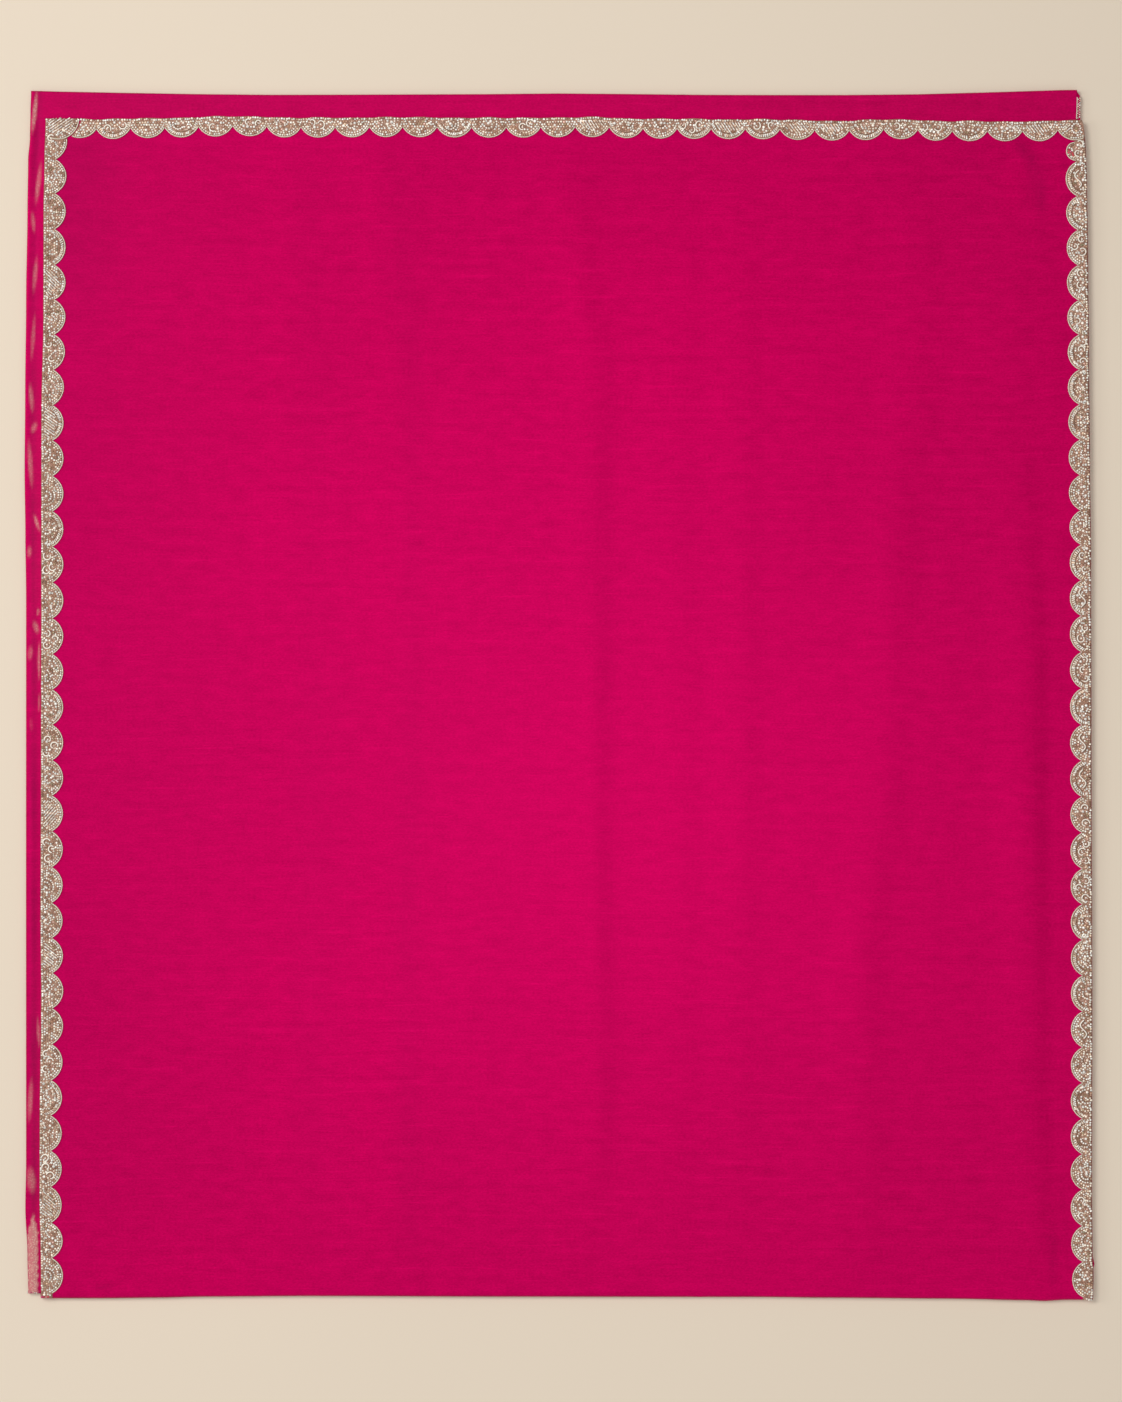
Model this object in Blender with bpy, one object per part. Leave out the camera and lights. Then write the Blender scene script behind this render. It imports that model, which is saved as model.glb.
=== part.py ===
"""A saree lying folded flat, with its bead-bordered end panel on top.

Sizes are in metres. +Z is up and +Y points to the laced end of the panel. The origin is the middle of
the flat underside. The panel folds under at the front and wraps the stretches that lie beneath it.
"""

import math
from collections import namedtuple

import bmesh
import bpy

MM = 0.001

# Cloth thickness and the gap kept between stretches that touch
CLOTH_WALL = 1.0 * MM
LAYER_GAP = 0.3 * MM

# The hidden stretches lie in three layers inside one solid
HIDDEN_LAYERS = 3
LAYER_PITCH = 1.4 * MM
STACK_HEIGHT = HIDDEN_LAYERS * LAYER_PITCH

# Heights of the middle of each wall
STRETCH_HEIGHT = STACK_HEIGHT + LAYER_GAP + CLOTH_WALL / 2
PANEL_HEIGHT = STRETCH_HEIGHT + CLOTH_WALL + LAYER_GAP
FOURTH_LAYER_HEIGHT = LAYER_PITCH * 0.5
THIRD_LAYER_HEIGHT = LAYER_PITCH * 1.5
END_LAYER_HEIGHT = LAYER_PITCH * 2.5

# Plan of the panel, which is the loom width of the cloth
PANEL_WIDTH = 1.100
PANEL_LEFT_X = -0.5432
PANEL_RIGHT_X = PANEL_LEFT_X + PANEL_WIDTH
PANEL_BACK_Y = 0.6029
PANEL_FRONT_Y = -0.6311

# Plan of the stretch under the panel, which shows at the left and at the back
STRETCH_LEFT_X = -0.5584
STRETCH_RIGHT_X = 0.5521
STRETCH_BACK_Y = 0.6295
STRETCH_FRONT_Y = -0.6269
STACK_RIGHT_X = 0.5531
STACK_SIDE_INSET = 2.0 * MM
STACK_CORNER = 3.0 * MM

# Folds, as radii of the middle of the wall and steps round the half turn
FRONT_FOLD_RADIUS = (PANEL_HEIGHT - FOURTH_LAYER_HEIGHT) / 2
INNER_FOLD_RADIUS = (STRETCH_HEIGHT - THIRD_LAYER_HEIGHT) / 2
BACK_FOLD_RADIUS = (STRETCH_HEIGHT - END_LAYER_HEIGHT) / 2
FRONT_FOLD_STEPS = 8
INNER_FOLD_STEPS = 6
BACK_FOLD_STEPS = 5

# Scalloped bead lace: its wall at the straight edge, at its crown and at the scalloped rim
LACE_EDGE_WALL = 1.1 * MM
LACE_CROWN_WALL = 1.5 * MM
LACE_RIM_WALL = 0.9 * MM
LACE_CROWN_SHARE = 0.84
LACE_STEPS = 7
LACE_ON_FOLD_STEPS = 2
CORNER_CLEARANCE = 0.5 * MM

# A lace: distance between cusps, depth at a lobe's middle, depth at a cusp, first cusp, whole lobes
Lace = namedtuple("Lace", "pitch lobe cusp first lobes")
BACK_LACE = Lace(35.98 * MM, 20.2 * MM, 10.2 * MM, PANEL_LEFT_X + 57.8 * MM, 28)
LEFT_LACE = Lace(37.11 * MM, 23.3 * MM, 12.3 * MM, PANEL_BACK_Y - 41.9 * MM, 31)
RIGHT_LACE = Lace(37.14 * MM, 22.3 * MM, 10.4 * MM, PANEL_BACK_Y - 44.8 * MM, 31)

# The left lace turns the back corner with one lobe that lies over the start of the back lace
CORNER_LOBE_CENTRE = 13.8 * MM
CORNER_LOBE_RADIUS = 21.9 * MM
CORNER_ANGLES = (52, 43, 34, 25, 16, 8, 0)

# The right lace starts below the back lace with one small lobe
SMALL_LOBE_CENTRE_Y = PANEL_BACK_Y - 34.0 * MM
SMALL_LOBE_DEPTH = 11.1 * MM
SMALL_LOBE_RADIUS = 9.8 * MM

# Each edge strays from its straight line: share of its length, and distance outward in millimetres.
# Side edges run from back to front, and back and front edges run from left to right.
EdgeRow = namedtuple("EdgeRow", "share out")
PANEL_LEFT_ROWS = [
    EdgeRow(0.00, -5.0), EdgeRow(0.04, -3.7), EdgeRow(0.08, -2.8), EdgeRow(0.17, -2.6),
    EdgeRow(0.25, -0.6), EdgeRow(0.38, -0.4), EdgeRow(0.52, -0.2), EdgeRow(0.68, 0.4),
    EdgeRow(0.74, -0.3), EdgeRow(0.86, 1.3), EdgeRow(0.92, 1.4), EdgeRow(0.96, 0.2),
    EdgeRow(1.00, -0.2),
]
PANEL_RIGHT_ROWS = [
    EdgeRow(0.000, -10.2), EdgeRow(0.009, -7.6), EdgeRow(0.018, -6.5), EdgeRow(0.027, -5.8),
    EdgeRow(0.055, -4.7), EdgeRow(0.107, -3.7), EdgeRow(0.210, -2.6), EdgeRow(0.293, -1.6),
    EdgeRow(0.374, -0.5), EdgeRow(0.518, -0.1), EdgeRow(0.747, 0.8), EdgeRow(0.916, 0.5),
    EdgeRow(0.961, 1.1), EdgeRow(0.984, 2.1), EdgeRow(1.000, 1.7),
]
PANEL_BACK_ROWS = [
    EdgeRow(0.000, 0.7), EdgeRow(0.037, 0.7), EdgeRow(0.057, -0.7), EdgeRow(0.100, 0.6),
    EdgeRow(0.195, 2.6), EdgeRow(0.243, 1.0), EdgeRow(0.342, 1.6), EdgeRow(0.437, 1.0),
    EdgeRow(0.528, 1.6), EdgeRow(0.576, 0.0), EdgeRow(0.671, -0.5), EdgeRow(0.766, -2.1),
    EdgeRow(0.814, -0.5), EdgeRow(0.865, -2.6), EdgeRow(0.951, -2.8), EdgeRow(0.965, -1.8),
    EdgeRow(1.000, -1.8),
]
PANEL_FRONT_ROWS = [
    EdgeRow(0.000, -0.4), EdgeRow(0.024, -0.4), EdgeRow(0.061, -0.4), EdgeRow(0.109, -1.0),
    EdgeRow(0.157, -2.1), EdgeRow(0.252, -2.8), EdgeRow(0.437, -2.1), EdgeRow(0.680, -1.8),
    EdgeRow(0.751, -1.0), EdgeRow(0.865, 0.0), EdgeRow(0.941, 1.7), EdgeRow(0.954, 2.5),
    EdgeRow(0.976, 1.2), EdgeRow(1.000, 1.2),
]
STRETCH_LEFT_ROWS = [
    EdgeRow(0.000, -5.2), EdgeRow(0.016, -4.6), EdgeRow(0.038, -4.0), EdgeRow(0.057, -2.1),
    EdgeRow(0.098, -1.4), EdgeRow(0.173, 0.0), EdgeRow(0.254, 1.0), EdgeRow(0.317, 1.6),
    EdgeRow(0.369, 0.8), EdgeRow(0.423, 0.0), EdgeRow(0.660, 0.1), EdgeRow(0.890, 0.0),
    EdgeRow(0.930, 0.8), EdgeRow(0.969, -1.4), EdgeRow(1.000, -2.1),
]
STRETCH_RIGHT_ROWS = [
    EdgeRow(0.000, -10.2), EdgeRow(0.022, -10.9), EdgeRow(0.040, -8.4), EdgeRow(0.090, -4.2),
    EdgeRow(0.260, -1.0), EdgeRow(0.500, 1.0), EdgeRow(1.000, 1.5),
]
STRETCH_BACK_ROWS = [
    EdgeRow(0.000, 3.2), EdgeRow(0.046, 2.1), EdgeRow(0.099, 1.0), EdgeRow(0.146, -0.2),
    EdgeRow(0.240, -1.0), EdgeRow(0.400, -0.5), EdgeRow(0.516, 0.5), EdgeRow(0.630, -1.0),
    EdgeRow(0.753, -1.3), EdgeRow(0.833, -0.5), EdgeRow(0.904, 1.6), EdgeRow(0.950, 2.9),
    EdgeRow(0.975, 4.0), EdgeRow(0.990, 4.1), EdgeRow(1.000, 2.6),
]
STACK_RIGHT_ROWS = [
    EdgeRow(0.000, -7.4), EdgeRow(0.022, -7.0), EdgeRow(0.057, -4.7), EdgeRow(0.260, -1.0),
    EdgeRow(0.600, 0.6), EdgeRow(0.920, 1.0), EdgeRow(0.964, 4.7), EdgeRow(0.976, 7.8),
    EdgeRow(0.990, 3.1), EdgeRow(1.000, 2.1),
]

# Pressed folds run from back to front: share of the width at the back, middle and front, ridge
# height and half width in millimetres.
PressedFold = namedtuple("PressedFold", "back middle front height half_width")
PRESSED_FOLDS = [
    PressedFold(0.195, 0.195, 0.197, 0.4, 15),
    PressedFold(0.331, 0.356, 0.347, 0.8, 13),
    PressedFold(0.516, 0.525, 0.535, 1.0, 15),
    PressedFold(0.627, 0.618, 0.613, 0.5, 17),
    PressedFold(0.832, 0.803, 0.782, 0.9, 17),
    PressedFold(0.927, 0.937, 0.941, 0.7, 13),
]
PRESSED_FOLD_START = 0.025
PRESSED_FOLD_FULL = 0.08
PRESSED_FOLD_FADES = 0.90

# Rings of the hidden stack, from the underside up, in millimetres: height, and how far the ring
# lies inside the stack's outline on each side.
StackRing = namedtuple("StackRing", "height left right back front")
STACK_RINGS = [
    StackRing(0.00, 1.2, 1.2, 1.8, 3.8),
    StackRing(0.35, 0.4, 0.3, 1.0, 3.1),
    StackRing(0.70, 0.0, 0.0, 0.7, 2.9),
    StackRing(1.05, 0.4, 0.3, 0.5, 3.1),
    StackRing(1.28, 1.6, 1.4, 0.5, 3.4),
    StackRing(1.50, 1.6, 1.4, 0.5, 3.0),
    StackRing(1.75, 0.9, 0.8, 0.5, 2.8),
    StackRing(2.10, 0.6, 0.5, 0.7, 2.8),
    StackRing(2.45, 0.9, 0.8, 1.0, 2.8),
    StackRing(2.70, 2.2, 1.8, 2.6, 2.8),
    StackRing(3.10, 1.2, 0.9, 2.0, 2.8),
    StackRing(3.50, 0.8, 0.4, 1.8, 2.8),
    StackRing(3.90, 1.2, 0.9, 2.0, 2.8),
    StackRing(4.20, 2.4, 2.0, 3.0, 3.6),
]

Edge = namedtuple("Edge", "line outward start end rows")
PANEL_LEFT = Edge(PANEL_LEFT_X, -1, PANEL_BACK_Y, PANEL_FRONT_Y, PANEL_LEFT_ROWS)
PANEL_RIGHT = Edge(PANEL_RIGHT_X, 1, PANEL_BACK_Y, PANEL_FRONT_Y, PANEL_RIGHT_ROWS)
PANEL_BACK = Edge(PANEL_BACK_Y, 1, PANEL_LEFT_X, PANEL_RIGHT_X, PANEL_BACK_ROWS)
PANEL_FRONT = Edge(PANEL_FRONT_Y, -1, PANEL_LEFT_X, PANEL_RIGHT_X, PANEL_FRONT_ROWS)
STRETCH_LEFT = Edge(STRETCH_LEFT_X, -1, STRETCH_BACK_Y, STRETCH_FRONT_Y, STRETCH_LEFT_ROWS)
STRETCH_RIGHT = Edge(STRETCH_RIGHT_X, 1, STRETCH_BACK_Y, STRETCH_FRONT_Y, STRETCH_RIGHT_ROWS)
STRETCH_BACK = Edge(STRETCH_BACK_Y, 1, STRETCH_LEFT_X, STRETCH_RIGHT_X, STRETCH_BACK_ROWS)
STACK_RIGHT = Edge(STACK_RIGHT_X, 1, STRETCH_BACK_Y, STRETCH_FRONT_Y, STACK_RIGHT_ROWS)


def clear_scene():
    """Remove every object, so that the script gives the same scene each time."""
    for item in list(bpy.data.objects):
        bpy.data.objects.remove(item, do_unlink=True)


def finish_material(name, colour, roughness, metallic):
    """A plain Principled material in the piece's own colour."""
    material = bpy.data.materials.new(name)
    material.use_nodes = True
    shader = material.node_tree.nodes["Principled BSDF"]
    shader.inputs["Base Color"].default_value = (*colour, 1.0)
    shader.inputs["Roughness"].default_value = roughness
    shader.inputs["Metallic"].default_value = metallic
    return material


def between(first, second, share):
    """The value that lies a share of the way from the first to the second."""
    return first + (second - first) * share


def eased(share):
    """A share held between 0 and 1, with a soft start and end."""
    held = min(max(share, 0.0), 1.0)
    return held * held * (3.0 - 2.0 * held)


def edge_at(edge, place):
    """Where a wandering edge lies at a place along it."""
    share = (place - edge.start) / (edge.end - edge.start)
    rows = edge.rows
    if share <= rows[0].share:
        out = rows[0].out
    elif share >= rows[-1].share:
        out = rows[-1].out
    else:
        above = next(index for index, row in enumerate(rows) if row.share >= share)
        low = rows[above - 1]
        high = rows[above]
        out = between(low.out, high.out, eased((share - low.share) / (high.share - low.share)))
    return edge.line + edge.outward * out * MM


def wall(name, outer, inner, material):
    """One closed wall between two grids of points with the same rows and columns.

    The grids are lists of rows. Rows run to the front and the points of a row run to the right, and
    the outer grid is the upper one.
    """
    mesh = bmesh.new()
    tops = [[mesh.verts.new(point) for point in row] for row in outer]
    unders = [[mesh.verts.new(point) for point in row] for row in inner]
    last_row = len(tops) - 1
    last_column = len(tops[0]) - 1
    for row in range(last_row):
        for column in range(last_column):
            mesh.faces.new((tops[row][column], tops[row + 1][column],
                            tops[row + 1][column + 1], tops[row][column + 1]))
            mesh.faces.new((unders[row][column], unders[row][column + 1],
                            unders[row + 1][column + 1], unders[row + 1][column]))
        mesh.faces.new((tops[row][0], unders[row][0], unders[row + 1][0], tops[row + 1][0]))
        mesh.faces.new((tops[row][last_column], tops[row + 1][last_column],
                        unders[row + 1][last_column], unders[row][last_column]))
    for column in range(last_column):
        mesh.faces.new((tops[0][column], tops[0][column + 1],
                        unders[0][column + 1], unders[0][column]))
        mesh.faces.new((tops[last_row][column], unders[last_row][column],
                        unders[last_row][column + 1], tops[last_row][column + 1]))
    return mesh_object(name, mesh, material)


def mesh_object(name, mesh, material):
    """A named object from a finished bmesh, with its faces turned outward."""
    bmesh.ops.recalc_face_normals(mesh, faces=mesh.faces)
    data = bpy.data.meshes.new(name)
    mesh.to_mesh(data)
    mesh.free()
    data.materials.append(material)
    data.shade_smooth()
    data.set_sharp_from_angle(angle=math.radians(40))
    item = bpy.data.objects.new(name, data)
    bpy.context.scene.collection.objects.link(item)
    return item


def fold_line(fold, along):
    """A pressed fold's share of the width, on a curve through its back, middle and front."""
    return (fold.back * (1 - along) * (1 - 2 * along)
            + fold.middle * 4 * along * (1 - along)
            + fold.front * along * (2 * along - 1))


def panel_columns():
    """The panel's columns as pressed folds of no height, so that each follows the fold beside it."""
    columns = [PressedFold(0.0, 0.0, 0.0, 0, 0), PressedFold(0.022, 0.022, 0.022, 0, 0)]
    for fold in PRESSED_FOLDS:
        half = fold.half_width * MM / PANEL_WIDTH
        low = PressedFold(fold.back - half, fold.middle - half, fold.front - half, 0, 0)
        high = PressedFold(fold.back + half, fold.middle + half, fold.front + half, 0, 0)
        columns.append(midway(columns[-1], low))
        columns += [low, fold, high]
    edge = PressedFold(0.978, 0.978, 0.978, 0, 0)
    columns += [midway(columns[-1], edge), edge, PressedFold(1.0, 1.0, 1.0, 0, 0)]
    return columns


def midway(first, second):
    """A column half way between two others."""
    return PressedFold((first.back + second.back) / 2, (first.middle + second.middle) / 2,
                       (first.front + second.front) / 2, 0, 0)


def fold_strength(along):
    """How much of a pressed fold's height stands at a share of the panel's length."""
    rise = eased((along - PRESSED_FOLD_START) / (PRESSED_FOLD_FULL - PRESSED_FOLD_START))
    fade = 1.0 - eased((along - PRESSED_FOLD_FADES) / (1.0 - PRESSED_FOLD_FADES))
    uneven = 0.85 + 0.15 * math.cos(along * 9.0)
    return rise * fade * uneven


def front_fold_axis(x):
    """Where the axis of the panel's front fold lies at a place across the panel."""
    return edge_at(PANEL_FRONT, x) + FRONT_FOLD_RADIUS + CLOTH_WALL / 2


def panel_point(x, y, ridge, lift):
    """A point on the flat of the panel, raised from the middle of its wall."""
    return (x, y, PANEL_HEIGHT + ridge + lift)


def panel_fold_point(x, angle, lift):
    """A point round the panel's front fold, raised outward from the middle of its wall."""
    radius = FRONT_FOLD_RADIUS + lift
    height = PANEL_HEIGHT - FRONT_FOLD_RADIUS + radius * math.cos(angle)
    return (x, front_fold_axis(x) - radius * math.sin(angle), height)


def panel_row_shares():
    """Shares of the panel's length at which its side edges turn."""
    shares = sorted({row.share for row in PANEL_LEFT_ROWS + PANEL_RIGHT_ROWS})
    kept = [shares[0]]
    for share in shares[1:-1]:
        if share - kept[-1] > 0.008:
            kept.append(share)
    return kept + [1.0]


def panel_grid(lift):
    """Rows of points on one face of the panel, from its laced end round the front fold."""
    columns = panel_columns()
    rows = []
    for along in panel_row_shares():
        straight = between(PANEL_BACK_Y, PANEL_FRONT_Y, along)
        row = []
        for column in columns:
            share = fold_line(column, along)
            x = between(edge_at(PANEL_LEFT, straight), edge_at(PANEL_RIGHT, straight), share)
            y = between(edge_at(PANEL_BACK, x), front_fold_axis(x), along)
            row.append(panel_point(x, y, column.height * MM * fold_strength(along), lift))
        rows.append(row)
    for step in range(1, FRONT_FOLD_STEPS + 1):
        angle = math.pi * step / FRONT_FOLD_STEPS
        rows.append([panel_fold_point(point[0], angle, lift) for point in rows[-1]])
    return rows


def pallu_panel(material):
    """The end panel on top: one wall that rolls under at the front."""
    return wall("pallu_panel", panel_grid(CLOTH_WALL / 2), panel_grid(-CLOTH_WALL / 2), material)


def stretch_grid(lift):
    """Rows of points on one face of the second stretch, folded under at its back and front."""
    shares = [row.share for row in STRETCH_BACK_ROWS]
    back_steps = range(BACK_FOLD_STEPS, 0, -1)
    back_fold = [(0.0, math.pi * step / BACK_FOLD_STEPS) for step in back_steps]
    flat = [(row.share, 0.0) for row in STRETCH_LEFT_ROWS]
    front_steps = range(1, INNER_FOLD_STEPS + 1)
    front_fold = [(1.0, math.pi * step / INNER_FOLD_STEPS) for step in front_steps]
    front_axis = STRETCH_FRONT_Y + INNER_FOLD_RADIUS + CLOTH_WALL / 2
    rows = []
    for along, angle in back_fold + flat + front_fold:
        straight = between(STRETCH_BACK_Y, STRETCH_FRONT_Y, along)
        left = edge_at(STRETCH_LEFT, straight)
        right = edge_at(STRETCH_RIGHT, straight)
        row = []
        for share in shares:
            x = between(left, right, share)
            back_axis = edge_at(STRETCH_BACK, x) - BACK_FOLD_RADIUS - CLOTH_WALL / 2
            if along < 0.5:
                radius = BACK_FOLD_RADIUS
                turn = 1
            else:
                radius = INNER_FOLD_RADIUS
                turn = -1
            y = between(back_axis, front_axis, along) + turn * (radius + lift) * math.sin(angle)
            z = STRETCH_HEIGHT - radius + (radius + lift) * math.cos(angle)
            row.append((x, y, z))
        rows.append(row)
    return rows


def second_stretch(material):
    """The stretch under the panel: one wall, folded under at its back and at its front."""
    return wall("second_stretch", stretch_grid(CLOTH_WALL / 2), stretch_grid(-CLOTH_WALL / 2),
                material)


def stack_outline(ring):
    """The points of one ring of the hidden stack, walked from the front left corner."""
    side_shares = [row.share for row in STACK_RIGHT_ROWS]
    cross_shares = [row.share for row in STRETCH_BACK_ROWS]
    height = ring.height * MM

    def left_x(y):
        return edge_at(STRETCH_LEFT, y) + STACK_SIDE_INSET + ring.left * MM

    def right_x(y):
        return edge_at(STACK_RIGHT, y) - ring.right * MM

    def back_y(x):
        return edge_at(STRETCH_BACK, x) - ring.back * MM

    front_y = STRETCH_FRONT_Y + ring.front * MM
    front = front_y + STACK_CORNER
    left_back = back_y(STRETCH_LEFT_X) - STACK_CORNER
    right_back = back_y(STACK_RIGHT_X) - STACK_CORNER
    points = []
    for share in reversed(side_shares):
        y = between(left_back, front, share)
        points.append((left_x(y), y, height))
    for share in cross_shares:
        x = between(left_x(left_back) + STACK_CORNER, right_x(right_back) - STACK_CORNER, share)
        points.append((x, back_y(x), height))
    for share in side_shares:
        y = between(right_back, front, share)
        points.append((right_x(y), y, height))
    for share in reversed(cross_shares):
        x = between(left_x(front) + STACK_CORNER, right_x(front) - STACK_CORNER, share)
        points.append((x, front_y, height))
    return points


def folded_stack(material):
    """The hidden stretches as one solid, with a rounded lip for each layer round its sides."""
    mesh = bmesh.new()
    rings = [[mesh.verts.new(point) for point in stack_outline(ring)] for ring in STACK_RINGS]
    count = len(rings[0])
    for low, high in zip(rings, rings[1:]):
        for index in range(count):
            after = (index + 1) % count
            mesh.faces.new((low[index], low[after], high[after], high[index]))
    mesh.faces.new(rings[0])
    mesh.faces.new(reversed(rings[-1]))
    return mesh_object("folded_stack", mesh, material)


def lobe_radius(lace):
    """The radius of the arc through a lobe's two cusps and its middle."""
    rise = lace.lobe - lace.cusp
    half = lace.pitch / 2
    return (half * half + rise * rise) / (2 * rise)


def lobe_depth(lace, offset):
    """A lobe's depth at a distance from its middle."""
    radius = lobe_radius(lace)
    held = min(abs(offset), lace.pitch / 2)
    return lace.lobe - radius + math.sqrt(radius * radius - held * held)


def lobe_places(lace, lobe):
    """Distances from the first cusp of stations at equal turns round a lobe, without its last cusp."""
    radius = lobe_radius(lace)
    half_turn = math.asin(lace.pitch / 2 / radius)
    places = []
    for step in range(LACE_STEPS):
        turn = between(-half_turn, half_turn, step / LACE_STEPS)
        places.append(lace.pitch * (lobe + 0.5) + radius * math.sin(turn))
    return places


def repeat_depth(lace, distance):
    """The depth at a distance from the first cusp of a row of equal lobes."""
    return lobe_depth(lace, distance % lace.pitch - lace.pitch / 2)


def lace_rows(stations):
    """Upper and lower grids of a lace from its stations.

    A station is a function that gives the point at a share of the lace's depth and at a lift.
    """
    foot = CLOTH_WALL / 2 + LAYER_GAP
    shares = (0.0, LACE_CROWN_SHARE, 1.0)
    walls = (LACE_EDGE_WALL, LACE_CROWN_WALL, LACE_RIM_WALL)
    upper = [[station(share, foot + thick) for share, thick in zip(shares, walls)]
             for station in stations]
    lower = [[station(share, foot) for share in shares] for station in stations]
    return upper, lower


def back_station(x, start, end):
    """A station across the back lace, from a start depth to an end depth."""
    def point(share, lift):
        return panel_point(x, edge_at(PANEL_BACK, x) - between(start, end, share), 0.0, lift)
    return point


def back_end_station(depth):
    """The last station of the back lace, which follows the panel's right edge."""
    def point(share, lift):
        y = edge_at(PANEL_BACK, PANEL_RIGHT_X) - depth * share
        return panel_point(edge_at(PANEL_RIGHT, y), y, 0.0, lift)
    return point


def side_station(edge, inward, y, depth):
    """A station across a side lace on the flat of the panel."""
    def point(share, lift):
        return panel_point(edge_at(edge, y) + inward * depth * share, y, 0.0, lift)
    return point


def side_fold_station(edge, inward, angle, depth):
    """A station across a side lace where it turns down over the front fold."""
    def point(share, lift):
        return panel_fold_point(edge_at(edge, PANEL_FRONT_Y) + inward * depth * share, angle, lift)
    return point


def pallu_end_lace(material):
    """The lace along the panel's back edge, cut round the lobe that turns the left corner."""
    corner_x = edge_at(PANEL_LEFT, PANEL_BACK_Y) + CORNER_LOBE_CENTRE
    first_middle = BACK_LACE.first - BACK_LACE.pitch / 2
    stations = []
    for degrees in CORNER_ANGLES:
        reach = CORNER_LOBE_RADIUS + CORNER_CLEARANCE
        x = corner_x + reach * math.cos(math.radians(degrees))
        start = reach * math.sin(math.radians(degrees))
        stations.append(back_station(x, start, lobe_depth(BACK_LACE, x - first_middle)))
    stations.append(back_station(between(first_middle, BACK_LACE.first, 0.6), 0.0,
                                 lobe_depth(BACK_LACE, 0.6 * BACK_LACE.pitch / 2)))
    for lobe in range(BACK_LACE.lobes):
        for distance in lobe_places(BACK_LACE, lobe):
            depth = repeat_depth(BACK_LACE, distance)
            stations.append(back_station(BACK_LACE.first + distance, 0.0, depth))
    last_middle = BACK_LACE.first + BACK_LACE.pitch * (BACK_LACE.lobes + 0.5)
    for distance in lobe_places(BACK_LACE, BACK_LACE.lobes):
        x = BACK_LACE.first + distance
        if x < last_middle:
            stations.append(back_station(x, 0.0, lobe_depth(BACK_LACE, x - last_middle)))
    stations.append(back_station(last_middle, 0.0, BACK_LACE.lobe))
    stations.append(back_end_station(BACK_LACE.lobe))
    upper, lower = lace_rows(stations)
    return wall("pallu_end_lace", upper, lower, material)


def front_stations(edge, inward, lace):
    """The end of a side lace: the rest of the flat and the first steps over the front fold."""
    axis = front_fold_axis(edge_at(edge, PANEL_FRONT_Y))
    stations = [side_station(edge, inward, axis, lace.cusp)]
    for step in range(1, LACE_ON_FOLD_STEPS + 1):
        angle = math.pi * step / FRONT_FOLD_STEPS
        stations.append(side_fold_station(edge, inward, angle, lace.cusp))
    return stations


def left_edge_lace(material):
    """The lace down the panel's left edge, from the lobe that turns the back corner."""
    top = edge_at(PANEL_BACK, PANEL_LEFT_X)
    stations = []
    for degrees in reversed(CORNER_ANGLES):
        drop = CORNER_LOBE_RADIUS * math.sin(math.radians(degrees))
        depth = CORNER_LOBE_CENTRE + CORNER_LOBE_RADIUS * math.cos(math.radians(degrees))
        stations.append(side_station(PANEL_LEFT, 1, top - drop, depth))
    middle = LEFT_LACE.first + LEFT_LACE.pitch / 2
    turn = top - CORNER_LOBE_RADIUS * 0.93
    for y in (turn, between(turn, LEFT_LACE.first, 0.35), between(turn, LEFT_LACE.first, 0.7)):
        stations.append(side_station(PANEL_LEFT, 1, y, lobe_depth(LEFT_LACE, y - middle)))
    for lobe in range(LEFT_LACE.lobes + 1):
        for distance in lobe_places(LEFT_LACE, lobe):
            y = LEFT_LACE.first - distance
            stations.append(side_station(PANEL_LEFT, 1, y, repeat_depth(LEFT_LACE, distance)))
    stations += front_stations(PANEL_LEFT, 1, LEFT_LACE)
    upper, lower = lace_rows(stations)
    return wall("left_edge_lace", upper, lower, material)


def right_edge_lace(material):
    """The lace down the panel's right edge, from its small first lobe."""
    top = edge_at(PANEL_BACK, PANEL_RIGHT_X) - BACK_LACE.lobe - CORNER_CLEARANCE
    stations = []
    for share in (0.0, 0.12, 0.3, 0.5, 0.7, 0.88):
        y = between(top, RIGHT_LACE.first, share)
        reach = SMALL_LOBE_RADIUS ** 2 - (y - SMALL_LOBE_CENTRE_Y) ** 2
        depth = SMALL_LOBE_DEPTH + math.sqrt(max(reach, 0.0))
        stations.append(side_station(PANEL_RIGHT, -1, y, depth))
    for lobe in range(RIGHT_LACE.lobes):
        for distance in lobe_places(RIGHT_LACE, lobe):
            y = RIGHT_LACE.first - distance
            stations.append(side_station(PANEL_RIGHT, -1, y, repeat_depth(RIGHT_LACE, distance)))
    axis = front_fold_axis(edge_at(PANEL_RIGHT, PANEL_FRONT_Y))
    for distance in lobe_places(RIGHT_LACE, RIGHT_LACE.lobes):
        y = RIGHT_LACE.first - distance
        if y > axis + 2 * MM:
            stations.append(side_station(PANEL_RIGHT, -1, y, repeat_depth(RIGHT_LACE, distance)))
    stations += front_stations(PANEL_RIGHT, -1, RIGHT_LACE)
    upper, lower = lace_rows(stations)
    return wall("right_edge_lace", upper, lower, material)


def build():
    """Make the folded saree."""
    clear_scene()
    silk = finish_material("magenta_silk", (0.560, 0.002, 0.095), 0.55, 0.0)
    beadwork = finish_material("champagne_beadwork", (0.560, 0.480, 0.360), 0.35, 0.6)
    pallu_panel(silk)
    second_stretch(silk)
    folded_stack(silk)
    pallu_end_lace(beadwork)
    left_edge_lace(beadwork)
    right_edge_lace(beadwork)


build()
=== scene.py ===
"""The looks of a saree lying folded flat: magenta silk with pressed folds, and scalloped bead lace.

Everything is in metres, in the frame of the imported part: +Z is up and +Y points to the laced end of
the top panel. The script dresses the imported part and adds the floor, the lights and the camera.
"""

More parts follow.
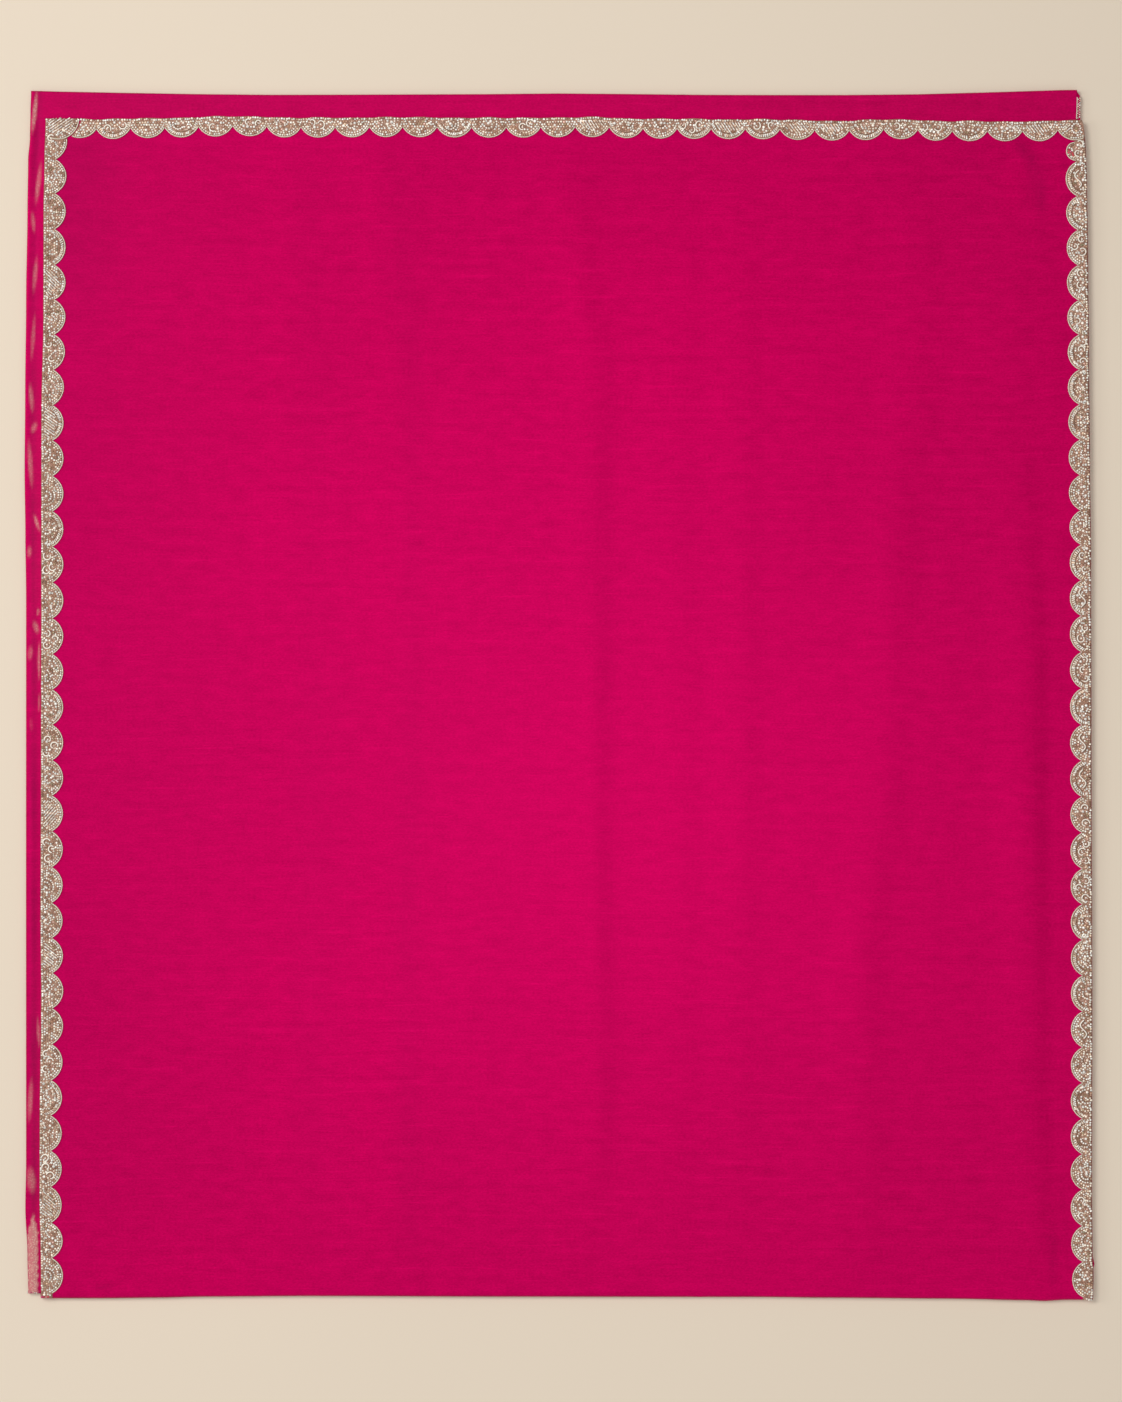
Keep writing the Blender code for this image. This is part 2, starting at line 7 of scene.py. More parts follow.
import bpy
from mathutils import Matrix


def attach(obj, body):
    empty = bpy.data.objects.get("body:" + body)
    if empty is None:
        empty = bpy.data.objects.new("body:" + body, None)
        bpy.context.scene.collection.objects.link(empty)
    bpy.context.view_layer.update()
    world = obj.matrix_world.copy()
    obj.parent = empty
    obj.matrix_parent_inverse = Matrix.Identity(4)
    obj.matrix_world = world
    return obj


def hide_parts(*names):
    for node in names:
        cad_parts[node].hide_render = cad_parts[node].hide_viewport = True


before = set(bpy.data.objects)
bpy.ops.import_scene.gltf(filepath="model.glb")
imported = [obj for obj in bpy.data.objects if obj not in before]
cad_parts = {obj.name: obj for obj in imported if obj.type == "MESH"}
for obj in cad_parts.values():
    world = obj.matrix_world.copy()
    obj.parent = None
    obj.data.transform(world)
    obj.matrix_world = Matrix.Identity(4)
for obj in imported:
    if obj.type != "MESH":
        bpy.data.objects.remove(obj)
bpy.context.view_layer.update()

import math
import random
from collections import namedtuple

import bmesh
import bpy
import numpy as np
from mathutils import Matrix, Vector

MM = 0.001

# Cloth thickness and the heights of the middle of each wall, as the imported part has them
CLOTH_WALL = 1.0 * MM
LAYER_PITCH = 1.4 * MM
LAYER_GAP = 0.3 * MM
STACK_HEIGHT = 3 * LAYER_PITCH
STRETCH_HEIGHT = STACK_HEIGHT + LAYER_GAP + CLOTH_WALL / 2
PANEL_HEIGHT = STRETCH_HEIGHT + CLOTH_WALL + LAYER_GAP
PANEL_TOP = PANEL_HEIGHT + CLOTH_WALL / 2
STRETCH_TOP = STRETCH_HEIGHT + CLOTH_WALL / 2
SILK_WALL = 0.8 * MM

# How far the cloth maps of the lower stretches are moved, so that no two stretches have the same slubs
STRETCH_MAP_SHIFT = (3.0, 5.0)
STACK_MAP_SHIFT = 7.0

# Plan of the panel and of the stretch under it
PANEL_LEFT_X = -0.5432
PANEL_RIGHT_X = 0.5568
PANEL_BACK_Y = 0.6029
PANEL_FRONT_Y = -0.6311
STRETCH_LEFT_X = -0.5584
STRETCH_RIGHT_X = 0.5521
STRETCH_BACK_Y = 0.6295
STRETCH_FRONT_Y = -0.6269
STACK_RIGHT_X = 0.5531
PANEL_LENGTH = PANEL_BACK_Y - PANEL_FRONT_Y
STRETCH_LENGTH = STRETCH_BACK_Y - STRETCH_FRONT_Y
STACK_SIDE_INSET = 2.0 * MM
STACK_CORNER = 3.0 * MM

# Radii of the outer faces of the folds
FRONT_FOLD_RADIUS = (PANEL_HEIGHT - LAYER_PITCH * 0.5) / 2 + CLOTH_WALL / 2
FRONT_ROLL = 1.2 * MM
INNER_FOLD_RADIUS = (STRETCH_HEIGHT - LAYER_PITCH * 1.5) / 2 + CLOTH_WALL / 2
BACK_FOLD_RADIUS = (STRETCH_HEIGHT - LAYER_PITCH * 2.5) / 2 + CLOTH_WALL / 2

# Each edge strays from its straight line: shares of its length, and distances outward in millimetres.
# Side edges run from back to front, and back and front edges run from left to right.
Edge = namedtuple("Edge", "line outward start end shares outs")
PANEL_LEFT = Edge(
    PANEL_LEFT_X, -1, PANEL_BACK_Y, PANEL_FRONT_Y,
    (0, 0.04, 0.08, 0.17, 0.25, 0.38, 0.52, 0.68, 0.74, 0.86, 0.92, 0.96, 1),
    (-5.0, -3.7, -2.8, -2.6, -0.6, -0.4, -0.2, 0.4, -0.3, 1.3, 1.4, 0.2, -0.2))
PANEL_RIGHT = Edge(
    PANEL_RIGHT_X, 1, PANEL_BACK_Y, PANEL_FRONT_Y,
    (0, 0.009, 0.018, 0.027, 0.055, 0.107, 0.21, 0.293, 0.374, 0.518, 0.747, 0.916, 0.961, 0.984, 1),
    (-10.2, -7.6, -6.5, -5.8, -4.7, -3.7, -2.6, -1.6, -0.5, -0.1, 0.8, 0.5, 1.1, 2.1, 1.7))
PANEL_BACK = Edge(
    PANEL_BACK_Y, 1, PANEL_LEFT_X, PANEL_RIGHT_X,
    (0, 0.037, 0.057, 0.1, 0.195, 0.243, 0.342, 0.437, 0.528, 0.576, 0.671, 0.766, 0.814, 0.865,
     0.951, 0.965, 1),
    (0.7, 0.7, -0.7, 0.6, 2.6, 1.0, 1.6, 1.0, 1.6, 0, -0.5, -2.1, -0.5, -2.6, -2.8, -1.8, -1.8))
PANEL_FRONT = Edge(
    PANEL_FRONT_Y - FRONT_ROLL, -1, PANEL_LEFT_X, PANEL_RIGHT_X,
    (0, 0.061, 0.109, 0.157, 0.252, 0.437, 0.68, 0.751, 0.865, 0.941, 0.954, 0.976, 1),
    (-0.4, -0.4, -1.0, -2.1, -2.8, -2.1, -1.8, -1.0, 0, 1.7, 2.5, 1.2, 1.2))
STRETCH_LEFT = Edge(
    STRETCH_LEFT_X, -1, STRETCH_BACK_Y, STRETCH_FRONT_Y,
    (0, 0.016, 0.038, 0.057, 0.098, 0.173, 0.254, 0.317, 0.369, 0.423, 0.66, 0.89, 0.93, 0.969, 1),
    (-5.2, -4.6, -4.0, -2.1, -1.4, 0, 1.0, 1.6, 0.8, 0, 0.1, 0, 0.8, -1.4, -2.1))
STRETCH_RIGHT = Edge(
    STRETCH_RIGHT_X, 1, STRETCH_BACK_Y, STRETCH_FRONT_Y,
    (0, 0.022, 0.04, 0.09, 0.26, 0.5, 1),
    (-10.2, -10.9, -8.4, -4.2, -1.0, 1.0, 1.5))
STRETCH_BACK = Edge(
    STRETCH_BACK_Y, 1, STRETCH_LEFT_X, STRETCH_RIGHT_X,
    (0, 0.046, 0.099, 0.146, 0.24, 0.4, 0.516, 0.63, 0.753, 0.833, 0.904, 0.95, 0.975, 0.99, 1),
    (3.2, 2.1, 1.0, -0.2, -1.0, -0.5, 0.5, -1.0, -1.3, -0.5, 1.6, 2.9, 4.0, 4.1, 2.6))
STACK_RIGHT = Edge(
    STACK_RIGHT_X, 1, STRETCH_BACK_Y, STRETCH_FRONT_Y,
    (0, 0.022, 0.057, 0.26, 0.6, 0.92, 0.964, 0.976, 0.99, 1),
    (-7.4, -7.0, -4.7, -1.0, 0.6, 1.0, 4.7, 7.8, 3.1, 2.1))

# Pressed folds of the panel run from back to front. Each has a crest line, given by its places
# across in millimetres at shares of the length, a rise, the widths of its left and right sides, how
# much painted shade darkens the silk on its right side, which also sets a weaker painted highlight
# on its left, and its strength along the length.
PressedFold = namedtuple("PressedFold", "shares places rise left right dim strength_shares strengths")
PRESSED_FOLDS = [
    PressedFold((0, 0.3, 1), (-278, -274, -276), 0.25, 54, 38, 0.028,
                (0, 0.04, 0.2, 0.5, 0.8, 0.95, 1), (0, 0.9, 0.7, 0.7, 1, 0.6, 0)),
    PressedFold((0, 0.09, 0.22, 0.5, 0.75, 1), (-186, -178, -166, -168, -172, -168), 0.45, 54, 30, 0.045,
                (0, 0.03, 0.1, 0.5, 0.8, 0.93, 1), (0, 0.8, 1, 0.75, 1, 1, 0)),
    PressedFold((0, 0.09, 0.22, 0.34, 0.6, 0.85, 0.94, 1), (14, 19, 34, 32, 33, 38, 28, 26),
                1.2, 44, 28, 0.016, (0, 0.02, 0.1, 0.3, 0.85, 0.94, 1), (0, 0.6, 0.95, 1, 1, 0.5, 0)),
    PressedFold((0, 0.5, 1), (124, 125, 123), 0.3, 44, 24, 0,
                (0, 0.05, 0.2, 0.9, 1), (0, 0.4, 1, 0.8, 0)),
    PressedFold((0, 0.4, 1), (190, 192, 187), 0.5, 40, 26, 0,
                (0, 0.05, 0.15, 0.5, 0.9, 1), (0, 0.6, 1, 0.8, 0.8, 0)),
    PressedFold((0, 0.09, 0.22, 0.34, 0.47, 0.6, 0.72, 0.84, 1),
                (369, 369, 371, 348, 344, 335, 315, 317, 315), 0.95, 46, 34, 0,
                (0, 0.09, 0.22, 0.34, 0.47, 0.6, 0.72, 0.84, 0.94, 1),
                (0, 0.5, 0.75, 0.85, 0.5, 0.5, 0.95, 0.65, 0.5, 0)),
    PressedFold((0, 0.2, 0.34, 0.47, 0.8, 1), (464, 473, 486, 493, 495, 503), 1.3, 50, 21, 0.01,
                (0, 0.12, 0.24, 0.34, 0.47, 0.6, 0.72, 0.94, 1),
                (0, 0.1, 0.1, 0.45, 0.75, 1, 0.65, 0.7, 0)),
]

# Creases of the panel, listed in millimetres: middle, half length, turn in degrees from the
# width of the cloth, rise and half width. A trough has a rise below zero.
Crease = namedtuple("Crease", "x y reach turn rise width")
PANEL_CREASES = [
    Crease(489, 537, 44, -58, -0.3, 11),
    Crease(505, 548, 34, -70, 0.15, 10),
    Crease(361, 91, 13, -2, 0.35, 4),
    Crease(-412, 540, 74, 3, 0.35, 5),
    Crease(-400, 527, 62, 2, -0.25, 5),
    Crease(257, 356, 30, 1, 0.3, 4),
    Crease(-204, 331, 40, 1, 0.3, 4),
    Crease(189, -492, 24, 0, 0.3, 4),
    Crease(-476, -618, 9, 10, -0.6, 3),
    Crease(-470, -613, 12, 8, 0.25, 4),
    Crease(-502, 436, 12, 60, -0.35, 5),
    Crease(-488, 455, 16, 40, 0.3, 6),
    Crease(-455, 572, 26, -12, 0.35, 5),
    Crease(-470, 556, 20, -24, -0.3, 5),
    Crease(-330, 566, 60, 1, -0.2, 5),
    Crease(-300, 303, 90, 1, 0.22, 4),
    Crease(-250, 296, 110, 1, -0.2, 5),
    Crease(-290, 213, 120, 0, 0.2, 4),
    Crease(-310, 120, 130, -1, -0.2, 5),
    Crease(-275, 26, 120, 1, 0.2, 5),
    Crease(-300, -62, 140, 0, -0.18, 5),
    Crease(-280, -172, 120, 1, 0.2, 5),
    Crease(-300, -262, 110, -1, -0.2, 5),
    Crease(-330, -355, 120, 1, 0.2, 5),
    Crease(-200, -404, 120, 0, -0.2, 5),
    Crease(-380, -585, 70, 2, -0.2, 5),
    Crease(40, 396, 80, 0, 0.15, 4),
    Crease(90, 60, 90, 1, -0.15, 5),
    Crease(120, -230, 110, 0, 0.15, 4),
    Crease(60, -470, 90, 1, -0.15, 5),
    Crease(230, 38, 80, 0, 0.15, 4),
    Crease(400, 210, 52, 5, 0.35, 6),
    Crease(395, 196, 60, 5, -0.35, 6),
    Crease(402, 160, 55, 4, 0.3, 6),
    Crease(398, 130, 60, 4, -0.3, 6),
    Crease(405, 95, 52, 3, 0.3, 6),
    Crease(390, 62, 60, 3, -0.25, 6),
    Crease(400, 250, 60, 5, 0.25, 6),
    Crease(410, 20, 50, 2, 0.25, 6),
    Crease(395, 400, 60, 2, -0.2, 6),
    Crease(400, 470, 55, 3, 0.2, 6),
    Crease(420, -160, 50, 2, -0.2, 6),
    Crease(400, -300, 60, 1, 0.2, 6),
]
MINOR_CREASES = 150

# Painted shade and painted light on the panel's silk, beyond what its rise shades: the rise of each
# is how much darker it is painted, and below zero how much lighter
PAINTED_SHADE_PLACES = [
    Crease(488.5, 566, 31, -56, 0.24, 9),
    Crease(502, 528, 38, -79, 0.22, 9),
    Crease(474, 533, 60, 84, -0.09, 20),
    Crease(520, 533, 55, 88, -0.07, 9),
    Crease(-476.5, -619, 11, 8, 0.22, 2.8),
    Crease(517.5, -590, 48, 88, 0.12, 6),
    Crease(514, -568, 11, -30, 0.14, 3.5),
    Crease(-470, 548, 40, -28, 0.05, 12),
    Crease(430, 560, 40, -50, 0.04, 14),
    Crease(170, 405, 400, 0, -0.085, 260),
    Crease(-200, -70, 330, 0, 0.058, 300),
    Crease(-512, 540, 210, 90, 0.13, 75),
    Crease(-420, -615, 190, 0, -0.07, 110),
]

# Scalloped bead lace: its edge of the panel, its node in the part, the distance between cusps, the depth
# at a lobe's middle and at a cusp, the place of the first cusp, and the number of whole lobes
Lace = namedtuple("Lace", "side node pitch lobe cusp first lobes")
BACK_LACE = Lace("back", "pallu_end_lace", 35.98 * MM, 20.7 * MM, 10.2 * MM,
                 PANEL_LEFT_X + 57.8 * MM, 28)
LEFT_LACE = Lace("left", "left_edge_lace", 37.11 * MM, 23.7 * MM, 12.3 * MM,
                 PANEL_BACK_Y - 41.9 * MM, 31)
RIGHT_LACE = Lace("right", "right_edge_lace", 37.14 * MM, 22.3 * MM, 10.4 * MM,
                  PANEL_BACK_Y - 44.8 * MM, 31)
CORNER_LOBE_CENTRE = 13.8 * MM
CORNER_LOBE_RADIUS = 21.9 * MM
SMALL_LOBE_CENTRE_Y = PANEL_BACK_Y - 34.0 * MM
SMALL_LOBE_DEPTH = 11.1 * MM
SMALL_LOBE_RADIUS = 9.8 * MM
LOBE_STEPS = 14
LOBE_CLEARANCE = 0.5 * MM
LACE_WRAP = math.radians(52)
LACE_REACH = 22 * MM

# The couched cords: their kind, radius, the height of their middle over the net, the colours of their
# strands and the length of one turn
Cord = namedtuple("Cord", "kind radius lift pale dark turn")
OUTER_CORD = Cord("outer_cord", 0.6 * MM, 0.27 * MM, (1.0, 0.97, 0.86, 1.0), (0.70, 0.58, 0.38, 1.0),
                  2.2 * MM)
CURL_CORD = Cord("curls", 0.74 * MM, 0.3 * MM, (1.0, 0.96, 0.88, 1.0), (0.90, 0.78, 0.64, 1.0),
                 2.6 * MM)
DARK_CORD = Cord("dark_cord", 0.42 * MM, 0.12 * MM, (0.36, 0.20, 0.12, 1.0), (0.17, 0.09, 0.05, 1.0),
                 1.8 * MM)
CORDS = (OUTER_CORD, CURL_CORD, DARK_CORD)

# The dark cord beside slanting bars, which leaves a little more room for the beads next to it
ARC_CORD = DARK_CORD._replace(radius=0.36 * MM)

# The net that carries the beads, and the beads' sizes
NET_FOOT = 0.15 * MM
NET_WALL = 0.5 * MM
NET_ROWS = 4
SEED_PITCH = 2.7 * MM
SEED_RADIUS = 1.3 * MM
SMALL_SEED = 0.62
SEED_SIZES = (0.88, 1.06)
EDGE_BEAD_PITCH = 2.55 * MM

# How each lace is sewn: how light its beads are, the share of its lobes that are barred, the fewest and
# most dark spots and white beads in a lobe, the depths of its edge row, how far that row stays from the
# lace's two ends and how far in its net starts, in millimetres, and the seed of its random draws
Sewing = namedtuple("Sewing", "lightness barred dark_spots white_beads edge_row row_ends net_margin seed")
SEWING = {
    "back": Sewing(1.20, 0.35, (1, 2), (7, 12), (1.2, 2.1), (7.0, 5.3), 0.4, 3),
    "left": Sewing(0.94, 0.15, (3, 5), (5, 9), (1.5, 2.4), (0.8, 0.8), 0.5, 5),
    "right": Sewing(1.20, 0.65, (1, 2), (6, 11), (1.1, 2.6), (0.8, 0.8), 0.4, 8),
}

# How far the cusps of each lace have slipped along it, in millimetres, by the cusps' numbers
CUSP_SLIPS = {
    "left": ((0, 1, 3, 5, 9, 11, 14, 18, 21, 24, 26, 28, 30, 31),
             (0.5, -0.9, -0.3, -1.8, -2.1, -2.4, -1.3, -1.7, -0.8, -1.7, -0.7, -1.0, 0, -0.4)),
    "right": ((0, 1, 2, 4, 5, 8, 10, 11, 13, 14, 15, 16, 18, 20, 23, 25, 27, 29, 30, 31),
              (0, -1.0, -2.7, -3.4, -4.7, -6.0, -6.4, -7.6, -7.5, -6.8, -6.0, -4.8, -3.9, -2.9, -2.6,
               -1.8, -1.3, -1.3, -0.5, 0)),
    "back": ((0, 2, 3, 6, 8, 9, 11, 13, 14, 16, 19, 20, 22, 25, 26, 27, 28),
             (0.8, 0.5, -0.2, -0.9, -1.4, -2.5, -2.3, -1.8, -1.7, -2.9, -3.7, -3.4, -2.8, -3.1, -2.3,
              -1.6, -0.6)),
}

# Where the photograph was taken from: its frame, the size of a pixel on the panel, and the frame's
# middle on the panel
PHOTO_LONG_SIDE = 1402 * 1.0466 * MM
FRAME_MIDDLE = (0.0016, -0.0063)
CAMERA_LENS = 100
SENSOR_LONG_SIDE = 36


def eased(share):
    """A share held between 0 and 1, with a soft start and end."""
    held = np.clip(share, 0.0, 1.0)
    return held * held * (3.0 - 2.0 * held)


def eased_along(shares, values, share):
    """The value at a share, eased from each knot to the next."""
    knots = np.asarray(shares, float)
    levels = np.asarray(values, float)
    held = np.clip(share, knots[0], knots[-1])
    above = np.clip(np.searchsorted(knots, held), 1, len(knots) - 1)
    part = (held - knots[above - 1]) / (knots[above] - knots[above - 1])
    return levels[above - 1] + (levels[above] - levels[above - 1]) * eased(part)


def edge_at(edge, place):
    """Where a wandering edge lies at a place along it."""
    share = (np.asarray(place, float) - edge.start) / (edge.end - edge.start)
    return edge.line + edge.outward * eased_along(edge.shares, edge.outs, share) * MM


def swell(share):
    """A smooth bump: 1 at 0, and 0 from 1 on to both sides."""
    held = np.clip(np.abs(share), 0.0, 1.0)
    return (1.0 - held * held) ** 2


def front_fold_axis(x):
    """Where the axis of the panel's front fold lies at a place across the panel."""
    return edge_at(PANEL_FRONT, x) + FRONT_FOLD_RADIUS


def crest_at(fold, along):
    """Where a pressed fold's crest lies at a share of the panel's length."""
    return eased_along(fold.shares, fold.places, along) * MM


def fold_rise(fold, x, along):
    """The rise of a pressed fold, whose two sides may differ in width."""
    across = x - crest_at(fold, along)
    left = eased(1.0 + across / (fold.left * MM))
    right = eased(1.0 - across / (fold.right * MM))
    strength = eased_along(fold.strength_shares, fold.strengths, along)
    return fold.rise * MM * strength * np.where(across < 0, left, right)


def crease_rise(crease, x, y):
    """The rise of a short crease, which is a trough where it is below zero."""
    turn = math.radians(crease.turn)
    along = (x - crease.x * MM) * math.cos(turn) + (y - crease.y * MM) * math.sin(turn)
    across = (y - crease.y * MM) * math.cos(turn) - (x - crease.x * MM) * math.sin(turn)
    return (crease.rise * MM * swell(along / (crease.reach * MM))
            * swell(across / (crease.width * MM)))


def minor_creases():
    """Faint pulls along the weft, more of them near the left edge and left of the right lace."""
    draw = random.Random(11)
    creases = []
    for _ in range(MINOR_CREASES):
        place = draw.random()
        if place < 0.45:
            x = draw.uniform(-490, -150)
        elif place < 0.7:
            x = draw.uniform(330, 470)
        else:
            x = draw.uniform(-150, 460)
        rise = draw.choice((-1, 1)) * draw.uniform(0.05, 0.16)
        creases.append(Crease(x, draw.uniform(-600, 575), draw.uniform(25, 110),
                              draw.uniform(-1.5, 2.5), rise, draw.uniform(3.5, 6)))
    return creases


ALL_CREASES = PANEL_CREASES + minor_creases()


def panel_rise(x, y):
    """How far the panel's upper face rises from its flat at a place."""
    x = np.asarray(x, float)
    y = np.asarray(y, float)
    along = (PANEL_BACK_Y - y) / PANEL_LENGTH
    rise = sum(fold_rise(fold, x, along) for fold in PRESSED_FOLDS)
    for crease in ALL_CREASES:
        rise = rise + crease_rise(crease, x, y)
    near_front = eased((y - front_fold_axis(x)) / (14 * MM))
    near_side = eased((np.minimum(x - PANEL_LEFT_X, PANEL_RIGHT_X - x) - LACE_REACH) / (16 * MM))
    return rise * near_front * near_side


def linked_object(name, data):
    """An object in the scene."""
    item = bpy.data.objects.new(name, data)
    bpy.context.scene.collection.objects.link(item)
    return item


def new_object(data, material):
    """An object, named as its mesh, that rides on the part."""
    item = linked_object(data.name, data)
    data.materials.append(material)
    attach(item, "root")
    return item


def read_rows(items, name, width):
    """What the items of a mesh hold under a name, as rows."""
    values = np.zeros(len(items) * width)
    items.foreach_get(name, values)
    return values.reshape(-1, width)


def fill_holes(mesh):
    """Close what is open in a mesh."""
    bmesh.ops.holes_fill(mesh, edges=[edge for edge in mesh.edges if edge.is_boundary], sides=0)


def reshape(data, change):
    """Change a mesh with operators."""
    mesh = bmesh.new()
    mesh.from_mesh(data)
    change(mesh)
    mesh.to_mesh(data)
    mesh.free()


def grid_mesh(name, columns, rows, place):
    """A mesh made from a grid that is moved into place.

    place takes the column and row numbers of all points, and gives their places and their places on
    the flat cloth.
    """
    data = bpy.data.meshes.new(name)
    reshape(data, lambda mesh: bmesh.ops.create_grid(mesh, x_segments=columns, y_segments=rows,
                                                     size=0.5))
    plan = read_rows(data.vertices, "co", 3)
    across = np.rint((plan[:, 0] + 0.5) * columns).astype(int)
    down = np.rint((0.5 - plan[:, 1]) * rows).astype(int)
    places, cloth = place(across, down)
    data.vertices.foreach_set("co", places.ravel())
    corners = np.zeros(len(data.loops), np.int32)
    data.loops.foreach_get("vertex_index", corners)
    layer = data.uv_layers.new(name="cloth")
    layer.data.foreach_set("uv", cloth[corners].ravel())
    data.update()
    return data


def point_values(data, name, value_at):
    """Give the points of a mesh a value each, worked out from their places across and along."""
    spots = read_rows(data.vertices, "co", 3)
    layer = data.attributes.new(name, "FLOAT", "POINT")
    layer.data.foreach_set("value", value_at(spots[:, 0], spots[:, 1]))


def add_wall(item, wall):
    """Give a sheet its thickness, under the face that is modelled."""
    shell = item.modifiers.new("wall", "SOLIDIFY")
    shell.thickness = wall
    shell.offset = -1
    shell.use_even_offset = False


def grid_sheet(name, columns, rows, place, material):
    """A closed sheet of silk made from a grid."""
    data = grid_mesh(name, columns, rows, place)
    data.shade_smooth()
    item = new_object(data, material)
    add_wall(item, SILK_WALL)
    return item


def spaced(start, end, step):
    """Rising places from start to end, no further apart than step, without the end."""
    count = max(1, math.ceil(abs(end - start) / step))
    return [start + (end - start) * index / count for index in range(count)]


def half_turn(steps):
    """Equal steps round half a turn, without its start."""
    return [math.pi * step / steps for step in range(1, steps + 1)]


# The folded silk

PANEL_ROW_STEP = 2.95 * MM
PANEL_COLUMN_STEP = 15 * MM
CLOSE_COLUMN_STEP = 4.5 * MM
CLOSE_COLUMNS_FROM = 0.5
FOLD_TURNS = 12
# Painted shade that darkens the panel's silk near its left edge, and how far in it reaches
LEFT_PAINTED_SHADE = 0.13
LEFT_PAINTED_SHADE_REACH = 250 * MM


def panel_alongs():
    """Shares of the panel's length at its rows, then the turns of the rows round its front fold."""
    flats = spaced(0.0, 1.0, PANEL_ROW_STEP / PANEL_LENGTH) + [1.0]
    turns = half_turn(FOLD_TURNS)
    return np.array(flats + [1.0] * FOLD_TURNS), np.array([0.0] * len(flats) + turns)


def panel_columns(alongs):
    """Places across the panel of each column at each row: columns follow the pressed folds."""
    straight = PANEL_BACK_Y - PANEL_LENGTH * alongs
    left = edge_at(PANEL_LEFT, straight)
    right = edge_at(PANEL_RIGHT, straight)
    anchors = [left, left + 5 * MM, left + LACE_REACH]
    for fold in PRESSED_FOLDS:
        crest = crest_at(fold, alongs)
        anchors += [crest - share * fold.left * MM for share in (1.0, 0.75, 0.5, 0.25)]
        anchors += [crest + share * fold.right * MM for share in (0.0, 0.3, 0.6, 1.0)]
    anchors += [right - LACE_REACH, right - 5 * MM, right]
    middle = len(alongs) // 2
    anchors.sort(key=lambda line: line[middle])
    columns = []
    for low, high in zip(anchors, anchors[1:]):
        step = CLOSE_COLUMN_STEP if low[middle] > CLOSE_COLUMNS_FROM else PANEL_COLUMN_STEP
        for share in spaced(0.0, 1.0, step / max(high[middle] - low[middle], MM)):
            columns.append(low + (high - low) * share)
    columns.append(anchors[-1])
    return np.stack(columns, axis=1)


def fold_shade(fold, x, along):
    """Painted shade beside a pressed fold: darker on its right, with a weaker painted highlight on its
    left.
    """
    across = (x - crest_at(fold, along)) / MM
    strength = eased_along(fold.strength_shares, fold.strengths, along) * (1 + 0.6 * eased(along * 2))
    right = swell((across - fold.right * 0.42) / (fold.right * 0.6))
    left = swell((across + fold.left * 0.5) / (fold.left * 0.55))
    return fold.dim * strength * (right - 0.6 * left)


def panel_shade(x, y):
    """Painted shade near the panel's left edge, by its folds and at set places; below zero, painted light.
    """
    along = (PANEL_BACK_Y - y) / PANEL_LENGTH
    inward = eased((x - PANEL_LEFT_X - 10 * MM) / LEFT_PAINTED_SHADE_REACH)
    near_edge = LEFT_PAINTED_SHADE * (1.0 - inward) * (1.0 - 0.3 * along)
    by_folds = sum(fold_shade(fold, x, along) for fold in PRESSED_FOLDS)
    by_places = sum(crease_rise(place, x, y) for place in PAINTED_SHADE_PLACES) / MM
    return near_edge + by_folds + by_places


def silk_panel(material):
    """The end panel on top, with its pressed folds and creases, rolled under at the front."""
    alongs, turns = panel_alongs()
    columns = panel_columns(alongs)

    def place(across, down):
        x = columns[down, across]
        along = alongs[down]
        turn = turns[down]
        axis = front_fold_axis(x)
        back = edge_at(PANEL_BACK, x)
        flat_y = back + (axis - back) * along
        lift = panel_rise(x, flat_y)
        y = np.where(turn > 0, axis - FRONT_FOLD_RADIUS * np.sin(turn), flat_y)
        round_z = PANEL_TOP - FRONT_FOLD_RADIUS * (1 - np.cos(turn))
        z = np.where(turn > 0, round_z, PANEL_TOP + lift)
        run = np.where(turn > 0, axis - FRONT_FOLD_RADIUS * turn, flat_y)
        return np.stack([x, y, z], axis=1), np.stack([x, run], axis=1)

    item = grid_sheet("silk_panel", columns.shape[1] - 1, len(alongs) - 1, place, material)
    # The painted shade and painted light are held on the panel's points
    point_values(item.data, "shade", panel_shade)
    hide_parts("pallu_panel")
    return item


# Where the lace of a lower layer shows through the thin silk of the stretch, in millimetres: middle
# of the patch, half length, turn from the length of the cloth in degrees, half width and strength
Patch = namedtuple("Patch", "x y reach turn width strength")
LACE_SHOWING = [
    Patch(-549.5, 610, 27, 6, 3.0, 0.85),
    Patch(-545.5, 536, 27, 7, 3.2, 0.5),
    Patch(-551, 495, 14, -6, 2.6, 0.4),
    Patch(-549, 440, 24, 5, 3.0, 0.4),
    Patch(-551, 375, 30, 4, 2.6, 0.35),
    Patch(-553, 311, 19, -5, 3.0, 0.5),
    Patch(-550, 280, 8, 20, 4.0, 0.4),
    Patch(-554, 242, 31, -4, 3.2, 0.45),
    Patch(-547, 180, 12, -19, 2.2, 0.75),
    Patch(-555, 150, 8, 0, 3.0, 0.45),
    Patch(-546, 87, 5, 0, 2.0, 0.5),
    Patch(-548, 71, 9, -18, 3.5, 0.5),
    Patch(-554, 44, 10, 4, 3.6, 0.32),
    Patch(-545.2, 35.6, 24, 0, 1.5, 0.75),
    Patch(-544.6, -8, 12, 0, 1.4, 0.45),
    Patch(-553, -31, 9, -4, 2.6, 0.08),
    Patch(-545.5, -353, 20, -4, 2.2, 0.4),
    Patch(-554, -424, 28, 3, 3.4, 0.45),
    Patch(-553, -508, 18, -6, 6.0, 0.45),
    Patch(-446, 607, 1.5, 0, 6.0, 0.6),
]

# Rows and columns of the stretch: the columns near its right edge are given by their distances from it
# in millimetres
STRETCH_ROW_STEP = 2.2 * MM
STRETCH_FOLD_TURNS = 7
STRETCH_COLUMN_STEP = 1.5 * MM
STRETCH_LEFT_COLUMNS = 16
STRETCH_RIGHT_INSETS = (16, 10, 6, 3, 1, 0)
